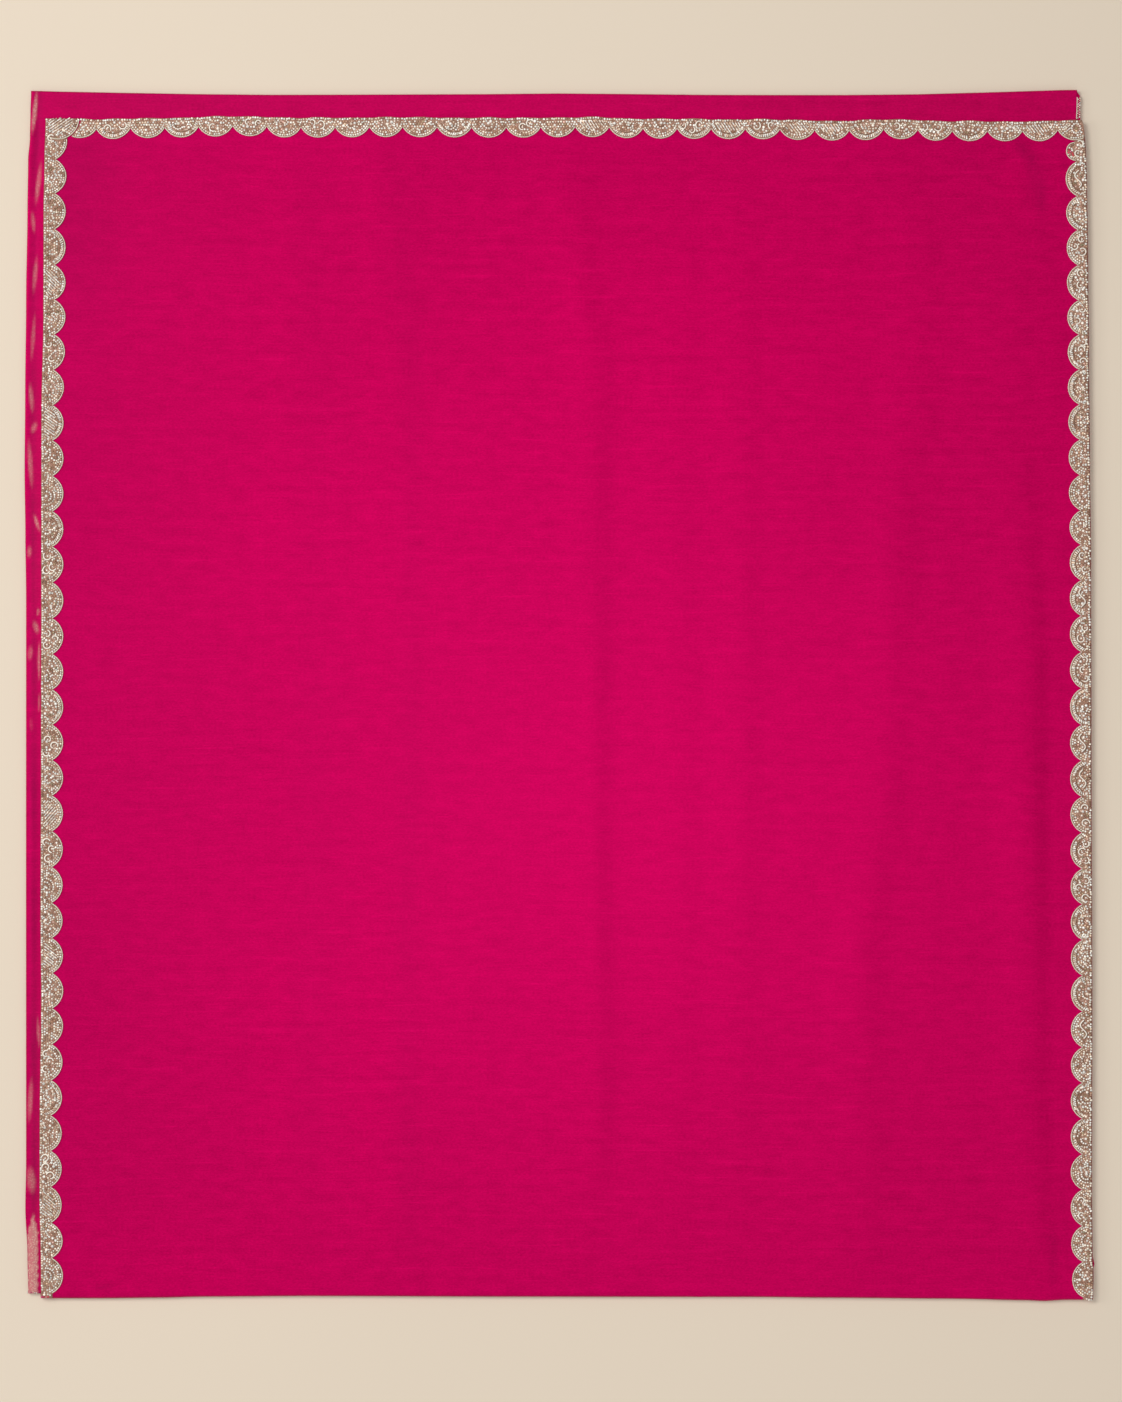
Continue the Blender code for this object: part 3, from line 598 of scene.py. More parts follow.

# Swells of the stretch along its left and its back, in millimetres: how far in, half width and rise.
# The band of painted shade beside its left edge has a rise that says how much darker it is painted.
Swell = namedtuple("Swell", "inward width rise")
LEFT_SWELLS = (Swell(7.5, 5.5, -0.35), Swell(2.2, 2.6, 0.22))
BACK_SWELLS = (Swell(3.0, 1.6, 0.16), Swell(5.4, 2.4, -0.12))
LEFT_PAINTED_SHADE_BAND = (Swell(8.2, 6.8, 0.34),)
STRETCH_CREASES = [
    Crease(-521.5, 616, 14, 88, -0.5, 4),
    Crease(-300, 616, 70, 2, 0.22, 7),
    Crease(-60, 616, 70, -2, 0.22, 7),
    Crease(190, 616, 70, 1, 0.22, 7),
    Crease(380, 616, 70, -3, 0.22, 7),
]
# Painted shade along a crease at the back left of the stretch, and painted shade towards its left end
PAINTED_CREASE_SHADE = Crease(-521.7, 617, 16, 88, 0.12, 1.6)
CORNER_PAINTED_SHADE = 0.15

# The bead mesh of a lower layer that shows at the front left: where it starts and how long it is, its
# left and right sides there, how far each of them moves out, how soft and how ragged they are, and how
# strongly it shows
END_MESH_Y = -0.542
END_MESH_LENGTH = 85 * MM
END_MESH_LEFT_X = -0.5524
END_MESH_RIGHT_X = -0.5500
END_MESH_LEFT_GROWTH = 5.0 * MM
END_MESH_RIGHT_GROWTH = 4.4 * MM
END_MESH_SOFTNESS = 1.3 * MM
END_MESH_RAGS = 0.6 * MM
END_MESH_STRENGTH = 0.92

# How strongly the lower lace shows over the rest of the stretch
FAINT_COVER = 0.011


def patch_cover(patch, x, y):
    """How strongly a patch of the lace underneath shows at a place, from 0 to 1."""
    turn = math.radians(patch.turn)
    dx = x - patch.x * MM
    dy = y - patch.y * MM
    along = (dy * math.cos(turn) + dx * math.sin(turn)) / (patch.reach * MM)
    across = (dx * math.cos(turn) - dy * math.sin(turn)) / (patch.width * MM)
    return patch.strength * eased(1.35 * (1.0 - np.sqrt(along * along + across * across)))


def end_mesh_cover(x, y):
    """How strongly the bead mesh of the layer below shows at the front left corner."""
    along = np.clip((END_MESH_Y - y) / END_MESH_LENGTH, 0, 1)
    widened = eased(along / 0.28)
    ragged = END_MESH_RAGS * np.sin(y * 700.0)
    left = END_MESH_LEFT_X - END_MESH_LEFT_GROWTH * widened + ragged
    right = END_MESH_RIGHT_X + END_MESH_RIGHT_GROWTH * widened + ragged
    inside = eased((x - left) / END_MESH_SOFTNESS) * eased((right - x) / END_MESH_SOFTNESS)
    return END_MESH_STRENGTH * inside * eased(along / 0.05)


def swells_rise(swells, inward):
    """The rise of some swells at a distance in from an edge."""
    return sum(each.rise * MM * swell((inward - each.inward * MM) / (each.width * MM))
               for each in swells)


def stretch_rise(x, y):
    """Soft swells of the part of the stretch that shows beside and behind the panel."""
    uneven = 0.6 + 0.4 * np.sin(y * 31.0) * np.cos(y * 13.0 + 1.0)
    at_left = swells_rise(LEFT_SWELLS, x - edge_at(STRETCH_LEFT, y)) * uneven
    at_back = swells_rise(BACK_SWELLS, edge_at(STRETCH_BACK, x) - y)
    return at_left + at_back + sum(crease_rise(crease, x, y) for crease in STRETCH_CREASES)


def stretch_columns(straight):
    """Places across the stretch of each column at each row, close together where it shows."""
    left = edge_at(STRETCH_LEFT, straight)
    right = edge_at(STRETCH_RIGHT, straight)
    inner = [left + step * STRETCH_COLUMN_STEP for step in range(STRETCH_LEFT_COLUMNS)]
    outer = [right - inset * MM for inset in STRETCH_RIGHT_INSETS]
    low = left + STRETCH_LEFT_COLUMNS * STRETCH_COLUMN_STEP
    middle = [low + (outer[0] - low) * share for share in spaced(0.0, 1.0, 0.075)]
    return np.stack(inner + middle + outer, axis=1)


def stretch_shade(x, y):
    """Painted shade on the stretch's silk: between the bright lines along its left side, in a crease, and
    towards its left end.
    """
    uneven = 0.8 + 0.2 * np.sin(y * 47.0)
    band = swells_rise(LEFT_PAINTED_SHADE_BAND, x - edge_at(STRETCH_LEFT, y)) * uneven
    at_back = 0.3 + 0.7 * eased((y - 0.54) / 0.06)
    corner = CORNER_PAINTED_SHADE * (1 - eased((x - STRETCH_LEFT_X) / 0.5)) * at_back
    return (band + crease_rise(PAINTED_CREASE_SHADE, x, y)) / MM + corner


def silk_stretch(material):
    """The stretch under the panel, which shows at the left and at the back and is folded under there."""
    flats = spaced(0.0, 1.0, STRETCH_ROW_STEP / STRETCH_LENGTH) + [1.0]
    turns = half_turn(STRETCH_FOLD_TURNS)
    alongs = np.array([0.0] * len(turns) + flats + [1.0] * len(turns))
    angles = np.array([-turn for turn in reversed(turns)] + [0.0] * len(flats) + turns)
    straight = STRETCH_BACK_Y - STRETCH_LENGTH * alongs
    columns = stretch_columns(straight)
    front_axis = STRETCH_FRONT_Y + INNER_FOLD_RADIUS

    def place(across, down):
        x = columns[down, across]
        along = alongs[down]
        angle = angles[down]
        radius = np.where(angle < 0, BACK_FOLD_RADIUS, INNER_FOLD_RADIUS)
        back_axis = edge_at(STRETCH_BACK, x) - BACK_FOLD_RADIUS
        flat_y = back_axis + (front_axis - back_axis) * along
        lift = stretch_rise(x, flat_y)
        ease_in = eased((back_axis - flat_y) / (1.5 * MM)) * eased((flat_y - front_axis) / (3 * MM))
        y = flat_y - radius * np.sin(angle)
        z = STRETCH_TOP - radius * (1 - np.cos(angle)) + np.where(angle == 0, lift * ease_in, 0)
        run = flat_y - radius * angle
        return np.stack([x, y, z], axis=1), np.stack([x, run], axis=1) + STRETCH_MAP_SHIFT

    def cover(x, y):
        parts = [patch_cover(patch, x, y) for patch in LACE_SHOWING]
        inward = eased((x - STRETCH_LEFT_X - 3 * MM) / (3 * MM))
        faint = FAINT_COVER * inward * (0.6 + 0.4 * np.sin(y * 9.0))
        return np.max(parts + [faint, end_mesh_cover(x, y)], axis=0)

    item = grid_sheet("silk_stretch", columns.shape[1] - 1, len(alongs) - 1, place, material)
    point_values(item.data, "lace_showing", cover)
    # The painted shade is held on the stretch's points
    point_values(item.data, "shade", stretch_shade)
    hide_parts("second_stretch")
    return item


# Rings of the hidden stack, from the underside up, in millimetres: height, and how far the ring lies
# inside the stack's outline on each side
StackRing = namedtuple("StackRing", "height left right back front layer")
STACK_RINGS = [
    StackRing(0.00, 1.4, 1.4, 2.0, 3.9, 0), StackRing(0.12, 0.9, 0.8, 1.5, 3.4, 0),
    StackRing(0.35, 0.4, 0.3, 1.0, 3.0, 0), StackRing(0.62, 0.2, 0.2, 0.7, 2.9, 0),
    StackRing(0.90, 0.3, 0.3, 0.7, 3.0, 0), StackRing(1.15, 0.8, 0.7, 0.9, 3.3, 0),
    StackRing(1.32, 2.6, 2.4, 1.6, 4.2, 0), StackRing(1.48, 2.6, 2.4, 1.6, 4.2, 1),
    StackRing(1.65, 1.1, 1.0, 0.9, 3.1, 1), StackRing(1.90, 0.6, 0.5, 0.8, 2.8, 1),
    StackRing(2.15, 0.6, 0.5, 0.9, 2.8, 1), StackRing(2.40, 0.9, 0.8, 1.1, 3.0, 1),
    StackRing(2.60, 1.6, 1.4, 1.6, 3.4, 1), StackRing(2.74, 3.2, 2.8, 3.0, 4.2, 1),
    StackRing(2.88, 3.2, 2.8, 3.2, 4.2, 2), StackRing(3.05, 1.5, 1.2, 2.3, 3.1, 2),
    StackRing(3.35, 0.9, 0.5, 1.9, 2.8, 2), StackRing(3.65, 0.9, 0.5, 1.9, 2.8, 2),
    StackRing(3.90, 1.2, 0.9, 2.1, 3.0, 2), StackRing(4.08, 1.8, 1.5, 2.6, 3.4, 2),
    StackRing(4.20, 2.8, 2.4, 3.4, 4.2, 2),
]
STACK_SIDE_STEPS = 150
STACK_CROSS_STEPS = 110
LAYER_DRIFT = 0.45 * MM


def layer_drift(layer, place):
    """How far a hidden layer's edge has slipped inward at a place along it."""
    return LAYER_DRIFT * (1 + math.sin(place * (7 + 3 * layer) + 2.1 * layer)) / 2


def stack_outline(ring):
    """The points of one ring of the hidden stack, walked from the front left corner."""
    def left_x(y):
        return (edge_at(STRETCH_LEFT, y) + STACK_SIDE_INSET + ring.left * MM
                + layer_drift(ring.layer, y))

    def right_x(y):
        return edge_at(STACK_RIGHT, y) - ring.right * MM - layer_drift(ring.layer, y + 0.3) * 0.5

    def back_y(x):
        return edge_at(STRETCH_BACK, x) - ring.back * MM - layer_drift(ring.layer, x)

    height = ring.height * MM
    front_y = STRETCH_FRONT_Y + ring.front * MM
    front = front_y + STACK_CORNER
    left_back = back_y(STRETCH_LEFT_X) - STACK_CORNER
    right_back = back_y(STACK_RIGHT_X) - STACK_CORNER
    back_ends = (left_x(left_back) + STACK_CORNER, right_x(right_back) - STACK_CORNER)
    front_ends = (right_x(front) - STACK_CORNER, left_x(front) + STACK_CORNER)
    points = [(left_x(y), y, height) for y in np.linspace(front, left_back, STACK_SIDE_STEPS + 1)]
    points += [(x, back_y(x), height) for x in np.linspace(*back_ends, STACK_CROSS_STEPS + 1)]
    points += [(right_x(y), y, height) for y in np.linspace(right_back, front, STACK_SIDE_STEPS + 1)]
    points += [(x, front_y, height) for x in np.linspace(*front_ends, STACK_CROSS_STEPS + 1)]
    return points


def silk_stack(material):
    """The hidden stretches as one closed form, with a rounded lip for each layer round its sides."""
    rings = np.array([stack_outline(ring) for ring in STACK_RINGS])
    around = rings.shape[1]

    def place(across, down):
        places = rings[down, across % around]
        return places, places[:, :2] + STACK_MAP_SHIFT

    def close(mesh):
        bmesh.ops.remove_doubles(mesh, verts=mesh.verts, dist=0.01 * MM)
        fill_holes(mesh)
        bmesh.ops.recalc_face_normals(mesh, faces=mesh.faces)

    data = grid_mesh("silk_stack", around, len(STACK_RINGS) - 1, place)
    reshape(data, close)
    data.shade_smooth()
    data.set_sharp_from_angle(angle=math.radians(50))
    item = new_object(data, material)
    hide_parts("folded_stack")
    return item


# The plan of each lace, in its own strip: the run along the panel's edge from the first cusp, and the
# depth in from that edge

def edge_bulge(lace, run, depth):
    """How far the back lace's straight edge stands out past the panel between its cusps."""
    number = np.floor(run / lace.pitch)
    height = (0.8 + 0.5 * np.sin(number * 2.3 + 1.0)) * MM
    across = 2 * (run / lace.pitch - number) - 1
    return height * swell(across) * np.clip(1 - depth / (12 * MM), 0, 1)


def strip_place(lace, run, depth):
    """The place across and along the panel of a point of a lace's strip."""
    numbers, slips = CUSP_SLIPS[lace.side]
    run = np.asarray(run, float)
    depth = np.asarray(depth, float)
    slipped = run + eased_along(numbers, slips, run / lace.pitch) * MM
    if lace.side == "back":
        x = lace.first + slipped
        return x, edge_at(PANEL_BACK, x) - depth + edge_bulge(lace, run, depth)
    y = lace.first - slipped
    if lace.side == "left":
        return edge_at(PANEL_LEFT, y) + depth, y
    return edge_at(PANEL_RIGHT, y) - depth, y


def strip_turn(lace, along_run, along_depth):
    """The angle on the panel of a direction in a lace's strip."""
    if lace.side == "back":
        return np.arctan2(-along_depth, along_run)
    if lace.side == "left":
        return np.arctan2(-along_run, along_depth)
    return np.arctan2(-along_run, -along_depth)


def on_panel(x, y, lift):
    """Points over the panel's upper face, carried on round its front fold, and their turns there."""
    axis = front_fold_axis(x)
    turn = np.maximum(axis - y, 0) / FRONT_FOLD_RADIUS
    reach = FRONT_FOLD_RADIUS + lift
    flat_z = PANEL_TOP + panel_rise(x, y) + lift
    round_z = PANEL_TOP - FRONT_FOLD_RADIUS + reach * np.cos(turn)
    points = np.stack([x + 0 * turn, np.where(turn > 0, axis - reach * np.sin(turn), y),
                       np.where(turn > 0, round_z, flat_z)], axis=-1)
    return points, turn


def lobe_radius(lace):
    """The radius of the arc through a lobe's two cusps and its middle."""
    rise = lace.lobe - lace.cusp
    half = lace.pitch / 2
    return (half * half + rise * rise) / (2 * rise)


def lobe_depth(lace, run):
    """The depth of a row of equal lobes at a run from the first cusp."""
    radius = lobe_radius(lace)
    offset = np.mod(run, lace.pitch) - lace.pitch / 2
    return lace.lobe - radius + np.sqrt(radius * radius - offset * offset)


CORNER_X = float(edge_at(PANEL_LEFT, PANEL_BACK_Y)) + CORNER_LOBE_CENTRE
CORNER_Y = float(edge_at(PANEL_BACK, PANEL_LEFT_X))
LEFT_START = LEFT_LACE.first - CORNER_Y
RIGHT_START = (RIGHT_LACE.first - float(edge_at(PANEL_BACK, PANEL_RIGHT_X)) + BACK_LACE.lobe
               + LOBE_CLEARANCE)
SMALL_LOBE_RUN = RIGHT_LACE.first - SMALL_LOBE_CENTRE_Y
BACK_START = CORNER_X + 0.62 * CORNER_LOBE_RADIUS - BACK_LACE.first
BACK_END = float(edge_at(PANEL_RIGHT, PANEL_BACK_Y - BACK_LACE.lobe)) - BACK_LACE.first
LACE_STARTS = {"left": LEFT_START, "right": RIGHT_START, "back": BACK_START}


def lace_end(lace):
    """The run at which a lace ends: at the far corner, or where it turns under round the front fold."""
    if lace.side == "back":
        return BACK_END
    line = PANEL_LEFT if lace.side == "left" else PANEL_RIGHT
    axis = float(front_fold_axis(edge_at(line, PANEL_FRONT_Y)))
    return lace.first - axis + FRONT_FOLD_RADIUS * LACE_WRAP


# A lobe: its number along the lace, the run of its middle, half its width, the depth of its arc's
# centre and the arc's radius, the runs between which it is filled, and how deep it may go
Lobe = namedtuple("Lobe", "number middle half centre radius low high deepest")


def lace_lobes(lace):
    """All lobes of a lace, with the part lobes at its ends."""
    radius = lobe_radius(lace)
    centre = lace.lobe - radius
    half = lace.pitch / 2
    end = lace_end(lace)
    lobes = []
    if lace.side == "left":
        lobes.append(Lobe(-2, LEFT_START, CORNER_LOBE_RADIUS, CORNER_LOBE_CENTRE, CORNER_LOBE_RADIUS,
                          LEFT_START, LEFT_START + CORNER_LOBE_RADIUS, 1.0))
    if lace.side == "right":
        lobes.append(Lobe(-1, SMALL_LOBE_RUN, SMALL_LOBE_RADIUS, SMALL_LOBE_DEPTH, SMALL_LOBE_RADIUS,
                          RIGHT_START, 0.0, 1.0))
    first = 0 if lace.side == "right" else -1
    for number in range(first, lace.lobes + 1):
        low = number * lace.pitch
        if low >= end:
            break
        lobes.append(Lobe(number, low + half, half, centre, radius, low, min(low + lace.pitch, end),
                          1.0))
    last = lobes[-1]
    if last.high < end:
        lobes.append(Lobe(last.number + 1, last.high + half, half, centre, radius, last.high, end,
                          lace.cusp))
    return lobes


def inside_lobe(lace, lobe, run, depth, margin):
    """Whether points of a strip lie in a lobe, with a margin to the lobe's own outline."""
    inset = lobe.radius - np.hypot(run - lobe.middle, depth - lobe.centre)
    inside = (run >= lobe.low) & (run <= lobe.high) & (depth <= lobe.deepest - margin)
    if lobe.number == -1 and lace.side == "right":
        inside &= ((inset >= margin) | ((depth < lobe.centre) & (np.abs(run - lobe.middle) < lobe.radius)))
    else:
        inside &= inset >= margin
    x, y = strip_place(lace, run, depth)
    if lobe.number == -1 and lace.side != "right":
        from_corner = np.hypot(x - CORNER_X, y - CORNER_Y)
        inside &= from_corner >= CORNER_LOBE_RADIUS + LOBE_CLEARANCE + margin
    if lace.side == "back":
        inside &= x <= edge_at(PANEL_RIGHT, y) - margin
    return inside


# The net under the beads

def net_runs(lace):
    """Runs of the stations of a lace's net: equal turns round each lobe."""
    turns = np.linspace(-1, 1, LOBE_STEPS + 1)[:-1]
    runs = []
    for lobe in lace_lobes(lace):
        sweep = math.asin(min(1.0, lobe.half / lobe.radius))
        runs.extend(lobe.middle + lobe.radius * np.sin(turns * sweep))
    end = lace_end(lace)
    start = LACE_STARTS[lace.side]
    kept = sorted(run for run in runs if start + 0.3 * MM < run < end - 0.3 * MM)
    return np.array([start] + kept + [end])


def net_reach(lace, runs):
    """The depths between which a lace's net lies at some runs."""
    near = np.full(len(runs), SEWING[lace.side].net_margin * MM)
    far = lobe_depth(lace, runs)
    if lace.side == "left":
        corner = CORNER_LOBE_CENTRE + np.sqrt(
            np.maximum(CORNER_LOBE_RADIUS ** 2 - (runs - LEFT_START) ** 2, 0))
        far = np.where(runs < LEFT_START + 0.93 * CORNER_LOBE_RADIUS, corner, far)
    if lace.side == "right":
        small = SMALL_LOBE_DEPTH + np.sqrt(
            np.maximum(SMALL_LOBE_RADIUS ** 2 - (runs - SMALL_LOBE_RUN) ** 2, 0))
        far = np.where(runs < 0, small, far)
    if lace.side == "back":
        reach = (CORNER_LOBE_RADIUS + LOBE_CLEARANCE) ** 2
        x = lace.first + runs
        near = np.maximum(near, np.sqrt(np.maximum(reach - (x - CORNER_X) ** 2, 0)))
        last_middle = lace.pitch * (lace.lobes + 0.5)
        far = np.where(runs > last_middle, lace.lobe, far)
    else:
        far = np.where(runs > lace.pitch * (lace.lobes + 1), lace.cusp, far)
    return near, np.maximum(far, near + 0.5 * MM)


def lace_net(lace, material):
    """The net that a lace's beads are sewn to."""
    runs = net_runs(lace)
    near, far = net_reach(lace, runs)

    def place(across, down):
        run = runs[across]
        depth = near[across] + (far[across] - near[across]) * down / NET_ROWS
        x, y = strip_place(lace, run, depth)
        if lace.side == "back":
            x = np.minimum(x, edge_at(PANEL_RIGHT, y))
        points, _ = on_panel(x, y, NET_FOOT + NET_WALL)
        return points, np.stack([run, depth], axis=1)

    def face_up(mesh):
        if sum(face.normal.z for face in mesh.faces) < 0:
            bmesh.ops.reverse_faces(mesh, faces=mesh.faces)

    data = grid_mesh(lace.side + "_lace_net", len(runs) - 1, NET_ROWS, place)
    reshape(data, face_up)
    data.shade_smooth()
    item = new_object(data, material)
    add_wall(item, NET_WALL)
    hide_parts(lace.node)
    return item


# Beads and cords, gathered for each lace before they are made

NET_TOP = NET_FOOT + NET_WALL
BEAD_SINK = 0.06 * MM
Tone = namedtuple("Tone", "red green blue weight")
BEAD_TONES = [
    Tone(1.0, 0.91, 0.76, 32), Tone(1.0, 0.98, 0.90, 33), Tone(0.78, 0.60, 0.44, 12),
    Tone(0.40, 0.23, 0.15, 17), Tone(0.38, 0.30, 0.18, 5), Tone(0.74, 0.47, 0.38, 8),
]
TAN_TONES = [
    Tone(0.56, 0.33, 0.24, 40), Tone(0.78, 0.54, 0.42, 26), Tone(0.31, 0.17, 0.11, 22),
    Tone(1.0, 0.90, 0.76, 15),
]
DARK_TONES = [
    Tone(0.44, 0.24, 0.14, 50), Tone(0.36, 0.25, 0.14, 25), Tone(0.68, 0.48, 0.32, 25),
]
CRYSTAL_TONES = [
    Tone(1.0, 0.95, 0.87, 60), Tone(1.0, 0.90, 0.78, 30), Tone(0.80, 0.66, 0.54, 10),
]
RED_TONES = [
    Tone(0.70, 0.03, 0.08, 50), Tone(0.85, 0.30, 0.32, 30), Tone(0.55, 0.02, 0.16, 20),
]


def drawn_tone(draw, tones, lightness=1.0):
    """One tone by its weight, a little lighter or darker."""
    tone = draw.choices(tones, weights=[each.weight for each in tones])[0]
    shade = min(draw.uniform(0.80, 1.14) * lightness, 1 / max(tone.red, tone.green, tone.blue))
    return (tone.red * shade, tone.green * shade, tone.blue * shade)


CELL = 3 * MM


class Beading:
    """What is sewn to one lace: lines of cord, and beads of each kind in rows of values, which are the
    run and depth, the direction's run and depth, the size and the tone."""

    def __init__(self, lace, draw):
        self.lace = lace
        self.draw = draw
        self.beads = {"seed_beads": [], "crystals": [], "cut_beads": []}
        self.cords = {cord.kind: [] for cord in CORDS}
        self.cells = {}
        self.dark_spots = []
        self.lightness = SEWING[lace.side].lightness

    def is_free(self, run, depth, radius):
        """Whether a round place holds nothing yet."""
        column = int(run // CELL)
        row = int(depth // CELL)
        for cell in [(column + step, row + rise) for step in (-1, 0, 1) for rise in (-1, 0, 1)]:
            for other_run, other_depth, other_radius in self.cells.get(cell, ()):
                gap = radius + other_radius
                if (run - other_run) ** 2 + (depth - other_depth) ** 2 < gap * gap:
                    return False
        return True

    def take(self, run, depth, radius):
        """Keep a round place."""
        cell = (int(run // CELL), int(depth // CELL))
        self.cells.setdefault(cell, []).append((run, depth, radius))

    def tones_at(self, run, depth):
        """The tones that beads at a place are drawn from."""
        for spot_run, spot_depth, radius in self.dark_spots:
            if math.hypot(run - spot_run, depth - spot_depth) < radius and self.draw.random() < 0.75:
                return DARK_TONES
        return BEAD_TONES

    def seed(self, run, depth, tones=None, size=1.0):
        """Sew a seed bead where there is room for it."""
        radius = SEED_RADIUS * size
        if not self.is_free(run, depth, radius * 0.56):
            return
        self.take(run, depth, radius)
        tone = drawn_tone(self.draw, tones or self.tones_at(run, depth), self.lightness)
        radius *= self.draw.uniform(0.9, 1.08)
        self.beads["seed_beads"].append((run, depth, 1.0, 0.0, radius, *tone))

    def crystal(self, run, depth, radius, tones=CRYSTAL_TONES):
        """Sew a cut crystal where there is room for it."""
        if not self.is_free(run, depth, radius * 0.95):
            return
        self.take(run, depth, radius)
        turn = self.draw.uniform(0, math.pi / 4)
        tone = drawn_tone(self.draw, tones, self.lightness)
        self.beads["crystals"].append((run, depth, math.cos(turn), math.sin(turn), radius, *tone))

    def cut_bead(self, run, depth, along_run, along_depth, length, tones):
        """Sew a long cut bead along a direction one long, where there is room for it."""
        step_run = along_run * length * 0.62
        step_depth = along_depth * length * 0.62
        ends = [(run + side * step_run, depth + side * step_depth) for side in (-1, 0, 1)]
        if not all(self.is_free(*end, 0.3 * MM) for end in ends):
            return
        for end in ends:
            self.take(*end, 0.5 * MM)
        tone = drawn_tone(self.draw, tones, self.lightness)
        self.beads["cut_beads"].append((run, depth, along_run, along_depth, length, *tone))

    def couch(self, cord, points):
        """Couch a cord along a line of runs and depths."""
        if len(points) < 3:
            return
        self.cords[cord.kind].append(points)
        for run, depth in points:
            self.take(run, depth, cord.radius)


def arc_point(lobe, radius, turn):
    """The run and depth of a point at a turn round a lobe's arc centre."""
    return lobe.middle + radius * math.sin(turn), lobe.centre + radius * math.cos(turn)


def arc_line(lace, lobe, inset, step):
    """Points at equal steps along an arc inside a lobe, where they lie in the lobe."""
    radius = lobe.radius - inset
    if radius < 2 * MM:
        return []
    count = max(4, int(2.6 * radius / step))
    points = []
    for index in range(count + 1):
        turn = -1.3 + 2.6 * index / count
        run, depth = arc_point(lobe, radius, turn)
        if depth > 1.9 * MM and inside_lobe(lace, lobe, run, depth, inset * 0.9 - 0.2 * MM):
            if lobe.low + 0.4 * MM < run < lobe.high - 0.4 * MM:
                points.append((run, depth))
    return points


RIM_ROWS = ((2.6 * MM, 2.4 * MM), (5.1 * MM, 2.7 * MM))
BAR_INSET = 3.5 * MM
BAR_PITCH = 2.1 * MM
BROWN_ARC_INSET = 5.9 * MM
STAGGERED_ROW = 0.866


def sew_rim(beading, lobe):
    """Two rows of seed beads along the inside of a lobe's outer cord."""
    for inset, pitch in RIM_ROWS:
        for run, depth in arc_line(beading.lace, lobe, inset, pitch):
            beading.seed(run, depth, BEAD_TONES[:4], beading.draw.uniform(0.84, 1.0))


def sew_bars(beading, lobe):
    """A band of slanting pale bars inside a lobe's outer cord, closed by a brown cord."""
    draw = beading.draw
    lean = draw.choice((-1, 1)) * draw.uniform(0.1, 0.6)
    for run, depth in arc_line(beading.lace, lobe, BAR_INSET, BAR_PITCH):
        turn = math.atan2(depth - lobe.centre, run - lobe.middle) + lean + draw.uniform(-0.15, 0.15)
        if draw.random() < 0.2:
            beading.crystal(run, depth, draw.uniform(1.15, 1.5) * MM)
        elif draw.random() < 0.92:
            beading.cut_bead(run, depth, math.cos(turn), math.sin(turn),
                             draw.uniform(1.3, 1.8) * MM, BEAD_TONES[:3])
    arc = arc_line(beading.lace, lobe, BROWN_ARC_INSET, 0.9 * MM)
    first = draw.randint(0, 1 + len(arc) // 3)
    last = len(arc) - draw.randint(0, 1 + len(arc) // 3)
    beading.couch(ARC_CORD, arc[first:last])


def fill_with_seeds(beading, lobe, pitch, jitter, size=1.0, tones=None):
    """Seed beads over what is left of a lobe, on a staggered grid that is shaken a little."""
    draw = beading.draw
    rows = int((lobe.centre + lobe.radius) / (pitch * STAGGERED_ROW)) + 1
    columns = int((lobe.high - lobe.low) / pitch) + 2
    for row in range(rows):
        depth = 2.3 * MM + row * pitch * STAGGERED_ROW
        for column in range(columns):
            run = lobe.low + (column + 0.5 * (row % 2)) * pitch
            shaken_run = run + draw.uniform(-1, 1) * jitter * pitch
            shaken_depth = depth + draw.uniform(-1, 1) * jitter * pitch
            if inside_lobe(beading.lace, lobe, shaken_run, shaken_depth, (1.2 + size * 0.7) * MM):
                beading.seed(shaken_run, shaken_depth, tones, size * draw.uniform(*SEED_SIZES))


def scattered(beading, lobe, count, gap, margin):
    """Places in a lobe drawn at random, no closer than a gap."""
    draw = beading.draw
    places = []
    for _ in range(count * 12):
        run = draw.uniform(lobe.low, lobe.high)
        depth = draw.uniform(2.6 * MM, lobe.centre + lobe.radius)
        if not inside_lobe(beading.lace, lobe, run, depth, margin):
            continue
        if all(math.hypot(run - other[0], depth - other[1]) > gap for other in places):
            places.append((run, depth))
        if len(places) == count:
            break
    return places


def ring_points(run, depth, radius, start, sweep, count, closing=0.0, inset=0.0):
    """Points along a ring round a place, which may close in by a share of its radius."""
    points = []
    for index in range(count + 1):
        turn = start + sweep * index / count
        reach = radius * (1 - closing * (index / count) ** 2) - inset
        points.append((run + reach * math.cos(turn), depth + reach * math.sin(turn)))
    return points


CURL_STEPS = 14
CURL_CLOSING = 0.4
BROWN_CURL_INSET = 1.15 * MM
BROWN_CURL_STEPS = 10


def sew_curl(beading, run, depth, radius, start, sweep):
    """A pale cord curled round a crystal, with a brown cord inside it."""
    ring = (run, depth, radius, start, sweep, CURL_STEPS, CURL_CLOSING)
    beading.crystal(run, depth, 1.0 * MM)
    beading.couch(CURL_CORD, ring_points(*ring))
    beading.couch(DARK_CORD, ring_points(*ring, BROWN_CURL_INSET)[:BROWN_CURL_STEPS])


def sew_bow(beading, middle, depth, radius, start, sweep, size, tones):
    """A row of seed beads along an arc round any point."""
    count = max(2, int(abs(sweep) * radius / (SEED_RADIUS * size * 1.95)))
    for bead_run, bead_depth in ring_points(middle, depth, radius, start, sweep, count):
        if 3.0 * MM < bead_depth < float(lobe_depth(beading.lace, bead_run)) - 4.5 * MM:
            beading.seed(bead_run, bead_depth, tones, size)


# Crystals that are strewn over a lobe, in millimetres: the gap between them, the margin to the lobe's
# outline, and the least and the greatest radius
Strewn = namedtuple("Strewn", "gap margin least greatest")
AMONG_SEEDS = Strewn(5.4, 5.6, 1.3, 1.75)
BESIDE_SCROLL = Strewn(4.2, 6.8, 1.1, 1.5)
BESIDE_CURLS = Strewn(4.4, 5.4, 1.2, 1.6)


